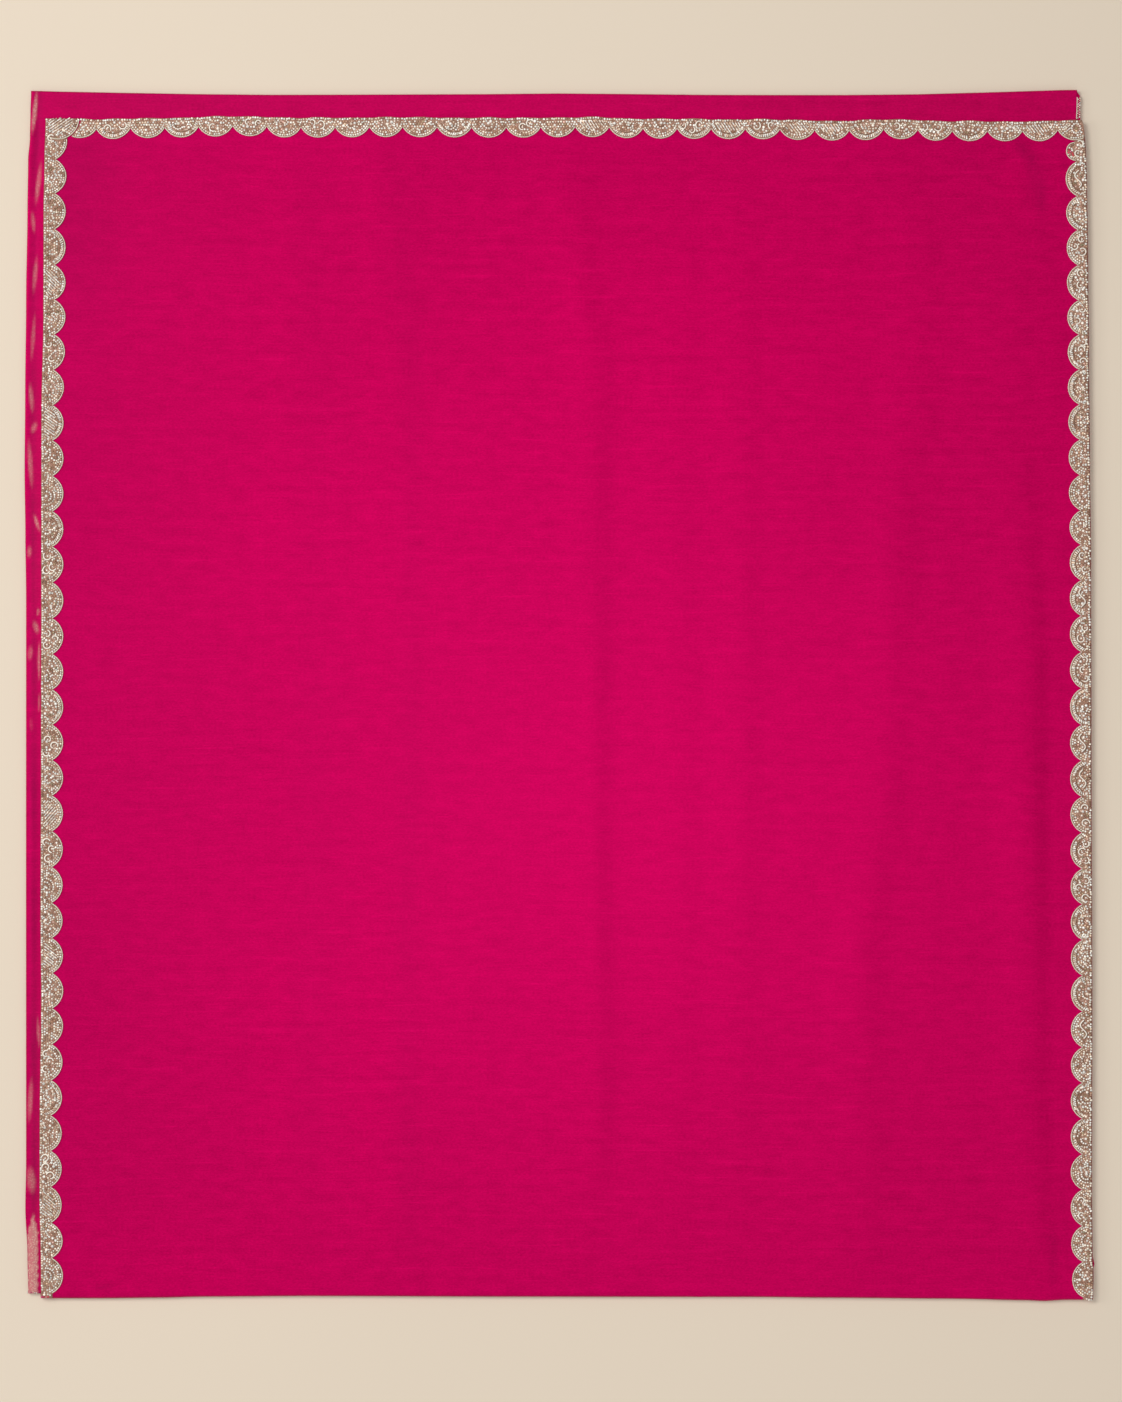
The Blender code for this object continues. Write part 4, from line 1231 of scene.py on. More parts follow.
def strew_crystals(beading, lobe, count, strewn):
    """Crystals at places drawn at random."""
    for run, depth in scattered(beading, lobe, count, strewn.gap * MM, strewn.margin * MM):
        beading.crystal(run, depth, beading.draw.uniform(strewn.least, strewn.greatest) * MM)


def sew_scatter(beading, lobe):
    """Crystals strewn among seed beads, with two short rows of white ones."""
    draw = beading.draw
    strew_crystals(beading, lobe, draw.randint(3, 5), AMONG_SEEDS)
    for _ in range(2):
        sew_bow(beading, lobe.middle + draw.uniform(-8, 8) * MM, draw.uniform(2, 9) * MM,
                draw.uniform(3.5, 6) * MM, draw.uniform(0, 6.28), draw.uniform(1.6, 3.0), 0.85,
                CRYSTAL_TONES)


def sew_mesh(beading, lobe):
    """Seed beads on an even net, with two crystals among them."""
    for run, depth in scattered(beading, lobe, 2, 12 * MM, 6 * MM):
        beading.crystal(run, depth, 1.4 * MM)
    fill_with_seeds(beading, lobe, SEED_PITCH * 1.05, 0.05)


def part_ring(beading, lobe, run, depth, radius, start, sweep):
    """Points along a part ring round any point, where they lie within a lobe's rim."""
    ring = ring_points(run, depth, radius, start, sweep, 16)
    return [point for point in ring
            if point[1] > 2.9 * MM and inside_lobe(beading.lace, lobe, *point, 5.8 * MM)]


def sew_fan(beading, lobe):
    """One or two brown cords in part rings, each with a row of white beads outside it."""
    draw = beading.draw
    run = lobe.middle + draw.uniform(-5, 5) * MM
    depth = draw.uniform(3.6, 7.0) * MM
    beading.crystal(run, depth, draw.uniform(1.2, 1.7) * MM)
    rings = [draw.uniform(3.0, 4.2) * MM, draw.uniform(6.8, 8.4) * MM]
    for radius in rings[:draw.choice((1, 2, 2))]:
        start = draw.uniform(-0.6, 1.2)
        sweep = draw.uniform(1.4, 2.6)
        beading.couch(DARK_CORD, part_ring(beading, lobe, run, depth, radius, start, sweep))
        sew_bow(beading, run, depth, radius + 1.55 * MM, start, sweep, 0.95, CRYSTAL_TONES)


SCROLL_STEPS = 24
SCROLL_LENGTH = 19 * MM
SCROLL_SWING = 3.3 * MM
SCROLL_INSETS = (12.6, 13.6)


def sew_scroll(beading, lobe):
    """A white cord that winds across the lobe with a brown cord beside it, and crystals strewn beside
    them.
    """
    draw = beading.draw
    side = draw.choice((-1, 1))
    phase = draw.uniform(-0.5, 0.9)
    middle = lobe.centre + lobe.radius - draw.uniform(*SCROLL_INSETS) * MM
    white = []
    brown = []
    for index in range(SCROLL_STEPS + 1):
        share = index / SCROLL_STEPS
        run = lobe.middle + side * (share - 0.5) * SCROLL_LENGTH
        depth = middle + SCROLL_SWING * math.sin(2 * math.pi * share + phase)
        if depth > 3.3 * MM and inside_lobe(beading.lace, lobe, run, depth, 6.6 * MM):
            white.append((run, depth))
            brown.append((run + 0.5 * MM, depth - 1.25 * MM))
    beading.couch(CURL_CORD, white)
    beading.couch(DARK_CORD, brown)
    strew_crystals(beading, lobe, draw.randint(3, 5), BESIDE_SCROLL)


STRIPE_REACH = 9
STRIPE_PITCH = 2.5 * MM
STRIPE_BEAD_PITCH = 3.3 * MM


def sew_stripes(beading, lobe):
    """Slanting rows of pale bars with brown gaps between them."""
    draw = beading.draw
    lean = draw.choice((-1, 1)) * math.radians(draw.uniform(40, 58))
    cosine, sine = math.cos(lean), math.sin(lean)
    for row in range(-STRIPE_REACH, STRIPE_REACH + 1):
        for step in range(-STRIPE_REACH, STRIPE_REACH + 1):
            across = row * STRIPE_PITCH
            along = (step + 0.5 * (row % 2)) * STRIPE_BEAD_PITCH
            run = lobe.middle - across * sine + along * cosine
            depth = lobe.centre + lobe.radius * 0.5 + across * cosine + along * sine
            if depth > 3.6 * MM and inside_lobe(beading.lace, lobe, run, depth, 4.4 * MM):
                beading.cut_bead(run, depth, cosine, sine, 1.5 * MM, BEAD_TONES[:3])


def sew_curls(beading, lobe):
    """Two or three pale curls round crystals, among seed beads."""
    draw = beading.draw
    for run, depth in scattered(beading, lobe, 3, 9.2 * MM, 8.0 * MM):
        sew_curl(beading, run, max(depth, 6.4 * MM), draw.uniform(3.4, 4.5) * MM,
                 draw.uniform(0, 6.28), draw.choice((-1, 1)) * draw.uniform(3.2, 4.6))
    strew_crystals(beading, lobe, 3, BESIDE_CURLS)


LOBE_STYLES = {
    "left": ((sew_scatter, 32), (sew_curls, 34), (sew_fan, 20), (sew_stripes, 12), (sew_mesh, 6)),
    "back": ((sew_scatter, 30), (sew_stripes, 18), (sew_curls, 30), (sew_fan, 16), (sew_mesh, 10)),
    "right": ((sew_scroll, 24), (sew_curls, 38), (sew_fan, 16), (sew_scatter, 30)),
}


def lobe_style(lace, lobe, draw):
    """How a lobe is filled: drawn by weight, and set for those at the corners."""
    styles = LOBE_STYLES[lace.side]
    style = draw.choices([each[0] for each in styles], weights=[each[1] for each in styles])[0]
    if lobe.number == -2:
        return sew_stripes
    if lobe.number == -1:
        return {"back": sew_mesh, "left": sew_scatter, "right": sew_curls}[lace.side]
    return style


def rim_line(lace, lobe):
    """The line of a lobe's outer cord."""
    radius = lobe.radius - OUTER_CORD.radius
    if lobe.number == -2:
        turns = np.linspace(math.radians(0.5), math.radians(128), 40)
    elif lobe.number == -1 and lace.side == "right":
        turns = np.linspace(-math.pi / 2, math.pi / 2, 24)
    else:
        sweep = math.asin(min(1.0, lobe.half / lobe.radius))
        turns = np.linspace(-sweep, sweep, 26)
    points = []
    for turn in turns:
        run, depth = arc_point(lobe, radius, turn)
        x, y = strip_place(lace, run, depth)
        if run > lobe.high or run < lobe.low - 0.1 * MM or depth < 0.6 * MM:
            continue
        if lobe.number == -1 and lace.side != "right":
            if math.hypot(x - CORNER_X, y - CORNER_Y) < CORNER_LOBE_RADIUS + LOBE_CLEARANCE:
                continue
        if lace.side == "back" and x > edge_at(PANEL_RIGHT, y) - OUTER_CORD.radius:
            continue
        points.append((run, depth))
    return points


def sew_edge_row(beading):
    """The close row of pale beads along a lace's straight edge."""
    lace = beading.lace
    draw = beading.draw
    sewing = SEWING[lace.side]
    start = LACE_STARTS[lace.side] + sewing.row_ends[0] * MM
    end = lace_end(lace) - sewing.row_ends[1] * MM
    count = int((end - start) / EDGE_BEAD_PITCH)
    for index in range(count + 1):
        run = start + index * (end - start) / count + draw.uniform(-0.5, 0.5) * MM
        depth = draw.uniform(*sewing.edge_row) * MM
        beading.seed(run, depth, BEAD_TONES[:4], draw.uniform(*SEED_SIZES))


# The red beads in the small lobe, in millimetres: how far past its middle and how deep
RED_BEADS = ((1.2, 18.4), (2.8, 16.6), (0.3, 16.0), (2.0, 14.2), (3.8, 13.4), (-1.4, 17.6))


def sew_corner_motifs(beading):
    """The curl in the corner lobe, the bead ring at the far corner, and the few red beads."""
    lace = beading.lace
    if lace.side == "left":
        sew_curl(beading, LEFT_START + 20.5 * MM, 6.6 * MM, 3.6 * MM, 2.4, 4.4)
        for depth in (1.6, 3.7, 5.8, 7.9):
            beading.seed(lace_end(lace) - 1.4 * MM, depth * MM, RED_TONES, 0.9)
    if lace.side == "right":
        for past, depth in RED_BEADS:
            beading.seed(SMALL_LOBE_RUN + past * MM, depth * MM, RED_TONES, 0.85)
    if lace.side == "back":
        ring = (BACK_END - 9.0 * MM, 8.4 * MM)
        beading.crystal(*ring, 1.7 * MM, DARK_TONES)
        sew_bow(beading, *ring, 4.6 * MM, 0, 2 * math.pi, 0.95, CRYSTAL_TONES)


CUSP_CRYSTAL_INSET = 3.4 * MM
CUSP_CRYSTAL_DEPTH = 5.4 * MM


def lace_beading(lace):
    """All beads and cords of one lace."""
    sewing = SEWING[lace.side]
    beading = Beading(lace, random.Random(sewing.seed))
    draw = beading.draw
    lobes = lace_lobes(lace)
    sew_corner_motifs(beading)
    for lobe in lobes:
        if lobe.deepest > lobe.radius:
            beading.couch(OUTER_CORD, rim_line(lace, lobe))
    sew_edge_row(beading)
    for lobe in lobes:
        for _ in range(draw.randint(*sewing.dark_spots)):
            beading.dark_spots.append((draw.uniform(lobe.low, lobe.high),
                                       draw.uniform(3, 15) * MM, draw.uniform(2.0, 3.6) * MM))
        if lobe.number >= 0 and draw.random() < sewing.barred:
            sew_bars(beading, lobe)
        else:
            sew_rim(beading, lobe)
        for side in (-1, 1):
            run = lobe.middle + side * (lobe.half - CUSP_CRYSTAL_INSET)
            if inside_lobe(lace, lobe, run, CUSP_CRYSTAL_DEPTH, 1.9 * MM):
                beading.crystal(run, CUSP_CRYSTAL_DEPTH, draw.uniform(1.3, 1.6) * MM)
        lobe_style(lace, lobe, draw)(beading, lobe)
        white_beads = draw.randint(*sewing.white_beads)
        for run, depth in scattered(beading, lobe, white_beads, 3.7 * MM, 3.6 * MM):
            beading.seed(run, depth, CRYSTAL_TONES[:2], draw.uniform(1.15, 1.45))
        fill_with_seeds(beading, lobe, SEED_PITCH, 0.26)
        fill_with_seeds(beading, lobe, SEED_PITCH * SMALL_SEED, 0.2, SMALL_SEED, TAN_TONES)
    return beading


# The shapes that are sewn on, each made once and copied as one joined mesh

Shape = namedtuple("Shape", "points triangles")


def finished_shape(mesh):
    """The points and triangles of a small shape, with its faces pointing out."""
    bmesh.ops.recalc_face_normals(mesh, faces=mesh.faces)
    bmesh.ops.triangulate(mesh, faces=mesh.faces)
    mesh.verts.ensure_lookup_table()
    mesh.verts.index_update()
    points = np.array([tuple(vert.co) for vert in mesh.verts])
    triangles = np.array([[vert.index for vert in face.verts] for face in mesh.faces])
    mesh.free()
    return Shape(points, triangles)


def seed_shape():
    """A round bead as a low dome, whose lower half is sunk in the net."""
    mesh = bmesh.new()
    bmesh.ops.create_uvsphere(mesh, u_segments=8, v_segments=4, radius=1.0)
    lower = [vert for vert in mesh.verts if vert.co.z < -0.01]
    bmesh.ops.delete(mesh, geom=lower, context="VERTS")
    fill_holes(mesh)
    bmesh.ops.scale(mesh, verts=mesh.verts, vec=(1.0, 1.0, 0.85))
    return finished_shape(mesh)


def crystal_shape():
    """A cut crystal: a flat table over eight slanting faces and a low girdle."""
    mesh = bmesh.new()
    bmesh.ops.create_cone(mesh, cap_ends=True, segments=8, radius1=1.0, radius2=0.56, depth=0.5,
                          matrix=Matrix.Translation((0, 0, 0.55)))
    lower = [face for face in mesh.faces if face.normal.z < -0.9]
    grown = bmesh.ops.extrude_face_region(mesh, geom=lower)["geom"]
    verts = [part for part in grown if isinstance(part, bmesh.types.BMVert)]
    bmesh.ops.translate(mesh, verts=verts, vec=(0, 0, -0.3))
    bmesh.ops.delete(mesh, geom=lower, context="FACES")
    return finished_shape(mesh)


def cut_bead_shape():
    """A long six-sided bead that lies along X, sunk a little in the net."""
    mesh = bmesh.new()
    turn = Matrix.Rotation(math.pi / 2, 4, "Y")
    bmesh.ops.create_cone(mesh, cap_ends=True, segments=6, radius1=0.42, radius2=0.42, depth=2.0,
                          matrix=Matrix.Translation((0, 0, 0.3)) @ turn)
    return finished_shape(mesh)


def joined_copies(name, shape, points, axes, sizes, tones, material, smooth):
    """One mesh of many copies of a shape, each with its own place, axes, size and tone."""
    count = len(points)
    local = shape.points[None, :, :] * np.asarray(sizes)[:, None, None]
    world = np.einsum("nij,nkj->nki", axes, local) + np.asarray(points)[:, None, :]
    size = len(shape.points)
    faces = shape.triangles[None, :, :] + (np.arange(count) * size)[:, None, None]
    data = bpy.data.meshes.new(name)
    data.from_pydata(world.reshape(-1, 3), [], faces.reshape(-1, 3))
    tint = data.attributes.new("tone", "FLOAT_COLOR", "POINT")
    colours = np.concatenate([np.asarray(tones), np.ones((count, 1))], axis=1)
    tint.data.foreach_set("color", np.repeat(colours, size, axis=0).ravel())
    if smooth:
        data.shade_smooth()
    else:
        data.shade_flat()
    data.update()
    return new_object(data, material)


def turned_axes(angles, first, second):
    """Axes turned by some angles from one of the three towards another."""
    axes = np.tile(np.eye(3), (len(angles), 1, 1))
    axes[:, first, first] = axes[:, second, second] = np.cos(angles)
    axes[:, second, first] = np.sin(angles)
    axes[:, first, second] = -np.sin(angles)
    return axes


def sewn_beads(beading, kind, shape, material, smooth):
    """All beads of one kind on a lace, as one piece."""
    rows = np.array(beading.beads[kind])
    lace = beading.lace
    x, y = strip_place(lace, rows[:, 0], rows[:, 1])
    points, turns = on_panel(x, y, NET_TOP - BEAD_SINK)
    flat = turned_axes(strip_turn(lace, rows[:, 2], rows[:, 3]), 0, 1)
    bend = turned_axes(turns, 1, 2)
    return joined_copies(f"{lace.side}_lace_{kind}", shape, points, bend @ flat, rows[:, 4], rows[:, 5:8],
                         material, smooth)


def cord_piece(name, lines, radius, material):
    """Cords as one mesh of tubes, with a map that runs round and along each of them in metres."""
    curve = bpy.data.curves.new(name + "_line", "CURVE")
    curve.dimensions = "3D"
    curve.bevel_depth = radius
    curve.bevel_resolution = 1
    curve.use_fill_caps = True
    for line in lines:
        spline = curve.splines.new("POLY")
        spline.points.add(len(line) - 1)
        spline.points.foreach_set("co", np.concatenate([line, np.ones((len(line), 1))], axis=1).ravel())
    guide = linked_object(name + "_line", curve)
    data = bpy.data.meshes.new_from_object(guide.evaluated_get(bpy.context.evaluated_depsgraph_get()))
    bpy.data.objects.remove(guide)
    bpy.data.curves.remove(curve)
    data.name = name
    lengths = [np.linalg.norm(np.diff(line, axis=0), axis=1).sum() for line in lines]
    layer = data.uv_layers[0]
    layer.name = "cord"
    spots = read_rows(layer.data, "uv", 2)
    spots[:, 1] *= float(np.mean(lengths))
    layer.data.foreach_set("uv", spots.ravel())
    data.shade_smooth()
    return new_object(data, material)


def couched_cords(beading, cord, material):
    """All cords of one kind on a lace, as one piece."""
    lines = []
    for points in beading.cords[cord.kind]:
        rows = np.array(points)
        x, y = strip_place(beading.lace, rows[:, 0], rows[:, 1])
        lines.append(on_panel(x, y, NET_TOP + cord.lift)[0])
    return cord_piece(f"{beading.lace.side}_lace_{cord.kind}", lines, cord.radius, material)


def bead_lace(lace, shapes, paints):
    """One lace: its net, its beads and its cords."""
    net = lace_net(lace, paints["net"])
    beading = lace_beading(lace)
    pieces = [
        sewn_beads(beading, "seed_beads", shapes["seed"], paints["bead"], True),
        sewn_beads(beading, "crystals", shapes["crystal"], paints["crystal"], False),
        sewn_beads(beading, "cut_beads", shapes["cut"], paints["bead"], False),
    ] + [couched_cords(beading, cord, paints[cord.kind]) for cord in CORDS]


def level_beads(name, shape, places, tones, material):
    """Seed beads at places in the scene, on a level ground, as one piece."""
    draw = random.Random(12)
    axes = np.tile(np.eye(3), (len(places), 1, 1))
    sizes = [draw.uniform(0.8, 1.05) * MM for _ in places]
    drawn = [drawn_tone(draw, tones) for _ in places]
    return joined_copies(name, shape, places, axes, sizes, drawn, material, True)


# What shows of the lower layers' lace: rows of beads at the far right, a pale line along the edge of
# the stretch, and a row of beads at the front left
FAR_BEADS_Y = 0.6042
FAR_BEAD_ROWS = 9
FAR_BEAD_PITCH = 2.45 * MM
PIPING_Y = 0.603
PIPING_POINTS = 18
PIPING_STEP = 1.35 * MM
NEAR_BEADS_X = -0.5572
NEAR_BEADS_Y = -0.6258
NEAR_BEADS = 7
NEAR_BEAD_PITCH = 1.95 * MM


def lower_lace_slivers(shapes, paints):
    """The slivers of the lower layers' lace: two strips of beads and a piping."""
    strip = []
    for row in range(FAR_BEAD_ROWS):
        y = FAR_BEADS_Y + row * FAR_BEAD_PITCH
        edge = float(edge_at(STRETCH_RIGHT, y))
        for column in range(2):
            strip.append((edge + (1.5 + 1.9 * column) * MM, y + 1.2 * column * MM,
                          STACK_HEIGHT - 0.1 * MM))
    far_beads = level_beads("lower_lace_beads", shapes["seed"], strip, BEAD_TONES, paints["bead"])
    line = []
    for step in range(PIPING_POINTS):
        y = PIPING_Y + step * PIPING_STEP
        line.append((float(edge_at(STRETCH_RIGHT, y)) + 0.2 * MM, y, STRETCH_TOP - 0.4 * MM))
    piping = cord_piece("stretch_piping", [np.array(line)], OUTER_CORD.radius,
                        paints[OUTER_CORD.kind])
    row = []
    for step in range(NEAR_BEADS):
        row.append((NEAR_BEADS_X + step * NEAR_BEAD_PITCH, NEAR_BEADS_Y - 0.15 * (step % 2) * MM,
                    STRETCH_TOP - 0.25 * MM))
    near_beads = level_beads("near_corner_beads", shapes["seed"], row, RED_TONES + BEAD_TONES[:1],
                             paints["bead"])
    return far_beads, piping, near_beads


# Finishes

def new_material(name):
    """A material, its node tree and its Principled BSDF."""
    material = bpy.data.materials.new(name)
    material.use_nodes = True
    return material, material.node_tree, material.node_tree.nodes["Principled BSDF"]


def new_group(name, inputs, outputs):
    """A shader node group with named float, colour or vector sockets."""
    group = bpy.data.node_groups.new(name, "ShaderNodeTree")
    for label, kind, value in inputs:
        socket = group.interface.new_socket(name=label, in_out="INPUT", socket_type=kind)
        if value is not None:
            socket.default_value = value
    for label, kind in outputs:
        group.interface.new_socket(name=label, in_out="OUTPUT", socket_type=kind)
    return group, group.nodes.new("NodeGroupInput"), group.nodes.new("NodeGroupOutput")


def feed(tree, value, socket):
    """Link a value to a socket, or set it there where it is a number, a colour or a vector."""
    if isinstance(value, bpy.types.NodeSocket):
        tree.links.new(value, socket)
    else:
        socket.default_value = value


def add_node(tree, kind, *values, **settings):
    """A node whose inputs take the values in order. A setting in lower case is one of its properties,
    and one with a capital is an input by name, with a low line for each space."""
    node = tree.nodes.new(kind)
    for name, value in settings.items():
        if name.islower():
            setattr(node, name, value)
    for name, value in settings.items():
        if not name.islower():
            feed(tree, value, node.inputs[name.replace("_", " ")])
    for socket, value in zip(node.inputs, values):
        feed(tree, value, socket)
    return node


def worked_out(tree, operation, *values):
    """What a Math node makes of some values."""
    return add_node(tree, "ShaderNodeMath", *values, operation=operation).outputs[0]


def ranged(tree, value, from_low, from_high, to_low=0.0, to_high=1.0):
    """A value moved from one range to another, and held within it."""
    return add_node(tree, "ShaderNodeMapRange", Value=value, From_Min=from_low, From_Max=from_high,
                    To_Min=to_low, To_Max=to_high).outputs["Result"]


def mixed(tree, share, first, second, **settings):
    """The colour at a share of the way from one to another."""
    return add_node(tree, "ShaderNodeMix", data_type="RGBA", Factor=share, A=first, B=second,
                    **settings).outputs["Result"]


def scaled(tree, colour, factor):
    """A colour made lighter or darker by a factor."""
    return add_node(tree, "ShaderNodeVectorMath", colour, operation="SCALE",
                    Scale=factor).outputs["Vector"]


def placed_texture(tree, kind, cell, **settings):
    """A texture that is fixed to the piece, with cells of a size."""
    place = add_node(tree, "ShaderNodeTexCoord").outputs["Object"]
    return add_node(tree, kind, Vector=place, Scale=1 / cell, **settings)


def held_value(tree, name):
    """The node that reads what the points of a piece hold under a name."""
    return add_node(tree, "ShaderNodeAttribute", attribute_name=name)


def add_relief(tree, shader, height, depth, strength):
    """A low relief on a finish, as deep as given where the height is 1."""
    bump = add_node(tree, "ShaderNodeBump", Height=height, Distance=depth, Strength=strength)
    tree.links.new(bump.outputs["Normal"], shader.inputs["Normal"])


# The noises that are woven into the silk: their scale across and along the cloth per metre, detail,
# roughness, weight in its tone, weight in its relief, and whether they sway with the weft
Thread = namedtuple("Thread", "across along detail rough tone relief sways")
THREADS = [
    Thread(5.0, 105.0, 3.0, 0.6, 0.38, 0.15, True),
    Thread(24.0, 520.0, 2.0, 0.6, 0.40, 0.035, True),
    Thread(52.0, 105.0, 2.0, 0.5, 0.68, 0, True),
    Thread(340.0, 620.0, 2.0, 0.6, 1.40, 0, True),
    Thread(430.0, 22.0, 1.0, 0.5, 0.10, 0, False),
    Thread(5.0, 4.0, 2.0, 0.5, 0.24, 0, False),
]
SWAY = Thread(5.0, 5.0, 1.0, 0.5, 12 * MM, 0, False)
SLUB = Thread(15.0, 290.0, 1.0, 0.5, 0.20, 0.05, True)
SLUB_RANGE = (0.62, 0.74)


def thread_noise(tree, vector, thread):
    """Noise that is longer one way of the cloth than the other."""
    stretched = add_node(tree, "ShaderNodeMapping", Vector=vector,
                         Scale=(thread.across, thread.along, 1.0)).outputs["Vector"]
    return add_node(tree, "ShaderNodeTexNoise", Vector=stretched, Scale=1.0, Detail=thread.detail,
                    Roughness=thread.rough).outputs["Fac"]


def slub_group():
    """Woven silk: long thin slubs across the cloth, a fine weave, and slow changes of tone.

    Tone is about 0.5, lighter above it. Height is in millimetres.
    """
    group, given, result = new_group(
        "slubs_and_weave", [("Cloth", "NodeSocketVector", None), ("Slub", "NodeSocketFloat", 1.0)],
        [("Tone", "NodeSocketFloat"), ("Height", "NodeSocketFloat")])
    cloth = given.outputs["Cloth"]
    drift = worked_out(group, "MULTIPLY", thread_noise(group, cloth, SWAY), SWAY.tone)
    shift = add_node(group, "ShaderNodeCombineXYZ", Y=drift).outputs["Vector"]
    swayed = add_node(group, "ShaderNodeVectorMath", cloth, shift, operation="ADD").outputs["Vector"]
    ridges = ranged(group, thread_noise(group, swayed, SLUB), *SLUB_RANGE)
    slub = worked_out(group, "MULTIPLY", ridges, given.outputs["Slub"])
    tone = worked_out(group, "MULTIPLY_ADD", slub, SLUB.tone, 0.5)
    height = worked_out(group, "MULTIPLY", slub, SLUB.relief)
    for thread in THREADS:
        noise = thread_noise(group, swayed if thread.sways else cloth, thread)
        strayed = worked_out(group, "SUBTRACT", noise, 0.5)
        tone = worked_out(group, "MULTIPLY_ADD", strayed, thread.tone, tone)
        if thread.relief:
            height = worked_out(group, "MULTIPLY_ADD", noise, thread.relief, height)
    group.links.new(tone, result.inputs["Tone"])
    group.links.new(height, result.inputs["Height"])
    return group


SILK_DARK = (0.32, 0.0002, 0.052, 1.0)
SILK_LIGHT = (0.56, 0.0006, 0.090, 1.0)
# The dark purple that painted shade mixes the silk towards
SILK_SHADED = (0.0, 0.003, 0.022, 1.0)
LACE_UNDER_SILK = (0.62, 0.44, 0.34, 1.0)


def silk_material(name, slubs, showing):
    """Magenta silk with a soft low sheen. Where showing is true, pale lace shows through it."""
    material, tree, shader = new_material(name)
    cloth = add_node(tree, "ShaderNodeUVMap", uv_map="cloth").outputs["UV"]
    weave = add_node(tree, "ShaderNodeGroup", node_tree=slubs, Cloth=cloth)
    colour = mixed(tree, weave.outputs["Tone"], SILK_DARK, SILK_LIGHT)
    # Painted shade on the points darkens the silk, and painted light lightens it where below zero
    shade = held_value(tree, "shade").outputs["Fac"]
    colour = mixed(tree, shade, colour, SILK_SHADED, clamp_factor=False)
    if showing:
        colour = lace_showing_through(tree, colour)
    tree.links.new(colour, shader.inputs["Base Color"])
    add_relief(tree, shader, weave.outputs["Height"], 1.0 * MM, 0.5)
    facing = add_node(tree, "ShaderNodeLayerWeight").outputs["Facing"]
    tree.links.new(ranged(tree, facing, 0.15, 0.7, 1.0, 0.15), shader.inputs["Specular IOR Level"])
    shader.inputs["Roughness"].default_value = 0.38
    shader.inputs["Specular Tint"].default_value = (1.0, 0.005, 0.17, 1.0)
    shader.inputs["Sheen Weight"].default_value = 0.15
    shader.inputs["Sheen Roughness"].default_value = 0.4
    shader.inputs["Sheen Tint"].default_value = (1.0, 0.01, 0.2, 1.0)
    return material


def lace_showing_through(tree, colour):
    """The silk's colour with the pale beads of a lower layer seen through it."""
    cover = held_value(tree, "lace_showing").outputs["Fac"]
    dots = placed_texture(tree, "ShaderNodeTexVoronoi", 1.9 * MM).outputs["Distance"]
    share = worked_out(tree, "MULTIPLY", cover, ranged(tree, dots, 0.55, 0.15, 0.48))
    return mixed(tree, share, colour, LACE_UNDER_SILK)


def bead_material(name, roughness, coat):
    """Lined glass beads, each in its own tone."""
    material, tree, shader = new_material(name)
    tone = held_value(tree, "tone").outputs["Color"]
    grain = placed_texture(tree, "ShaderNodeTexNoise", 2.5 * MM, Detail=1.0).outputs["Fac"]
    varied = scaled(tree, tone, ranged(tree, grain, 0.3, 0.7, 0.56, 1.20))
    tree.links.new(varied, shader.inputs["Base Color"])
    shader.inputs["Roughness"].default_value = roughness
    shader.inputs["Coat Weight"].default_value = coat
    shader.inputs["Coat Roughness"].default_value = 0.08
    return material


NET_DARK = (0.30, 0.15, 0.10, 1.0)
NET_LIGHT = (0.42, 0.24, 0.17, 1.0)


def net_material(name):
    """Brown net with darker and lighter patches, and its threads as a low relief."""
    material, tree, shader = new_material(name)
    patches = placed_texture(tree, "ShaderNodeTexNoise", 9 * MM, Detail=2.0).outputs["Fac"]
    colour = mixed(tree, ranged(tree, patches, 0.38, 0.62), NET_DARK, NET_LIGHT)
    holes = placed_texture(tree, "ShaderNodeTexVoronoi", 0.9 * MM, feature="DISTANCE_TO_EDGE")
    threads = ranged(tree, holes.outputs["Distance"], 0.04, 0.16, 1.25, 0.8)
    tree.links.new(scaled(tree, colour, threads), shader.inputs["Base Color"])
    add_relief(tree, shader, threads, 0.15 * MM, 0.6)
    shader.inputs["Roughness"].default_value = 0.7
    shader.inputs["Specular IOR Level"].default_value = 0.25
    return material


def cord_material(cord):
    """Twisted metal thread: slanting strands that follow the cord's own map."""
    material, tree, shader = new_material(cord.kind)
    along = add_node(tree, "ShaderNodeUVMap", uv_map="cord").outputs["UV"]
    parts = add_node(tree, "ShaderNodeSeparateXYZ", Vector=along).outputs
    turns = worked_out(tree, "MULTIPLY_ADD", parts["Y"], 1 / cord.turn, parts["X"])
    wave = worked_out(tree, "SINE", worked_out(tree, "MULTIPLY", turns, 2 * math.pi))
    strand = worked_out(tree, "MULTIPLY_ADD", wave, 0.5, 0.5)
    tree.links.new(mixed(tree, strand, cord.dark, cord.pale), shader.inputs["Base Color"])
    add_relief(tree, shader, strand, 0.25 * MM, 0.6)
    shader.inputs["Roughness"].default_value = 0.38
    return material


FLOOR_DARK = (0.734, 0.628, 0.503, 1.0)
FLOOR_LIGHT = (0.753, 0.645, 0.518, 1.0)


def floor_material():
    """A plain pale surface."""
    material, tree, shader = new_material("pale_floor")
    grain = placed_texture(tree, "ShaderNodeTexNoise", 0.5, Detail=2.0).outputs["Fac"]
    tree.links.new(mixed(tree, grain, FLOOR_DARK, FLOOR_LIGHT), shader.inputs["Base Color"])
    shader.inputs["Roughness"].default_value = 0.8
    shader.inputs["Specular IOR Level"].default_value = 0.1
    return material


# The floor, the lights and the camera

FLOOR_SIZE = 6.0
FLOOR_GAP = 0.2 * MM


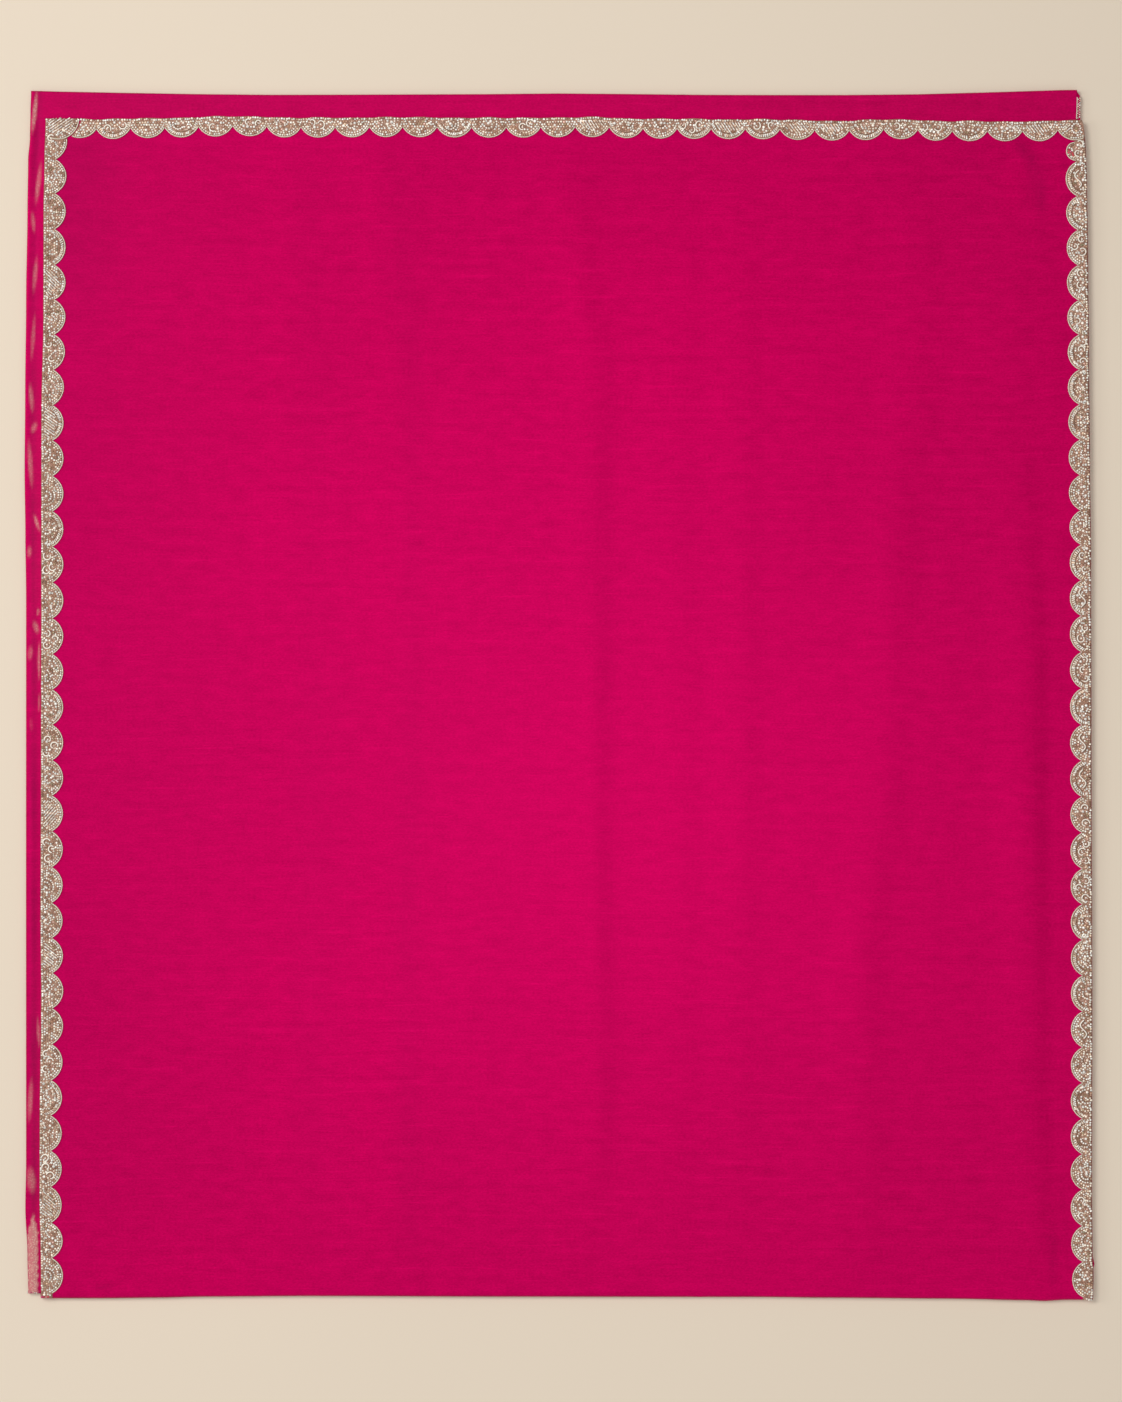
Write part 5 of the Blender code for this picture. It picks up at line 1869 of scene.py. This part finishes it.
def pale_floor():
    """The surface that the saree lies on, a hair below it."""
    data = bpy.data.meshes.new("floor")
    ground = Matrix.Translation((0, 0, -FLOOR_GAP))
    reshape(data, lambda mesh: bmesh.ops.create_grid(mesh, x_segments=2, y_segments=2,
                                                     size=FLOOR_SIZE / 2, matrix=ground))
    data.materials.append(floor_material())
    linked_object("floor", data)


def soft_light(light):
    """A square soft light that faces a point."""
    data = bpy.data.lights.new(light.name, "AREA")
    data.shape = "SQUARE"
    data.size = light.size
    data.energy = light.power
    item = linked_object(light.name, data)
    item.location = light.place
    ray = Vector(light.aim) - Vector(light.place)
    item.rotation_euler = ray.to_track_quat("-Z", "Y").to_euler()


# Each light: its name, place, the point that it faces, its width in metres and its power in watts
Light = namedtuple("Light", "name place aim size power")
LIGHTS = [
    Light("key_light", (-2.704, 1.716, 4.108), (0, 0, 0), 2.2, 131),
    Light("side_light", (-4.4, 0.5, 2.3), (0, 0, 0), 1.5, 43),
    Light("front_light", (0.4, -2.9, 3.0), (0, 0, 0), 2.5, 19),
    Light("top_light", (0.0, -0.18, 4.4), (0.0, -0.18, 0), 0.9, 42),
]
ROOM_LIGHT = 0.30


def lights():
    """Soft daylight from the upper left, a little light from above, and an even pale surround."""
    for light in LIGHTS:
        soft_light(light)
    world = bpy.data.worlds.new("pale_room")
    bpy.context.scene.world = world
    world.use_nodes = True
    backdrop = world.node_tree.nodes["Background"]
    backdrop.inputs["Color"].default_value = (1.0, 1.0, 1.0, 1.0)
    backdrop.inputs["Strength"].default_value = ROOM_LIGHT


def photo_camera():
    """The camera looks straight down at the panel, with the photograph's frame."""
    data = bpy.data.cameras.new("photo_camera")
    data.lens = CAMERA_LENS
    data.sensor_width = SENSOR_LONG_SIDE
    distance = PHOTO_LONG_SIDE * CAMERA_LENS / SENSOR_LONG_SIDE
    item = linked_object("photo_camera", data)
    item.location = (*FRAME_MIDDLE, distance + PANEL_TOP)
    bpy.context.scene.camera = item
    bpy.context.scene.view_settings.view_transform = "Standard"


def dress():
    """Make all that shows."""
    slubs = slub_group()
    silk = silk_material("magenta_silk", slubs, False)
    thin_silk = silk_material("thin_magenta_silk", slubs, True)
    paints = {
        "bead": bead_material("glass_beads", 0.3, 0.5),
        "crystal": bead_material("cut_crystals", 0.15, 1.0),
        "net": net_material("brown_net"),
    }
    for cord in CORDS:
        paints[cord.kind] = cord_material(cord)
    shapes = {"seed": seed_shape(), "crystal": crystal_shape(), "cut": cut_bead_shape()}
    panel = silk_panel(silk)
    stretch = silk_stretch(thin_silk)
    stack = silk_stack(silk)
    far_beads, piping, near_beads = lower_lace_slivers(shapes, paints)
    for lace in (BACK_LACE, LEFT_LACE, RIGHT_LACE):
        bead_lace(lace, shapes, paints)


photo_camera()
dress()
pale_floor()
lights()
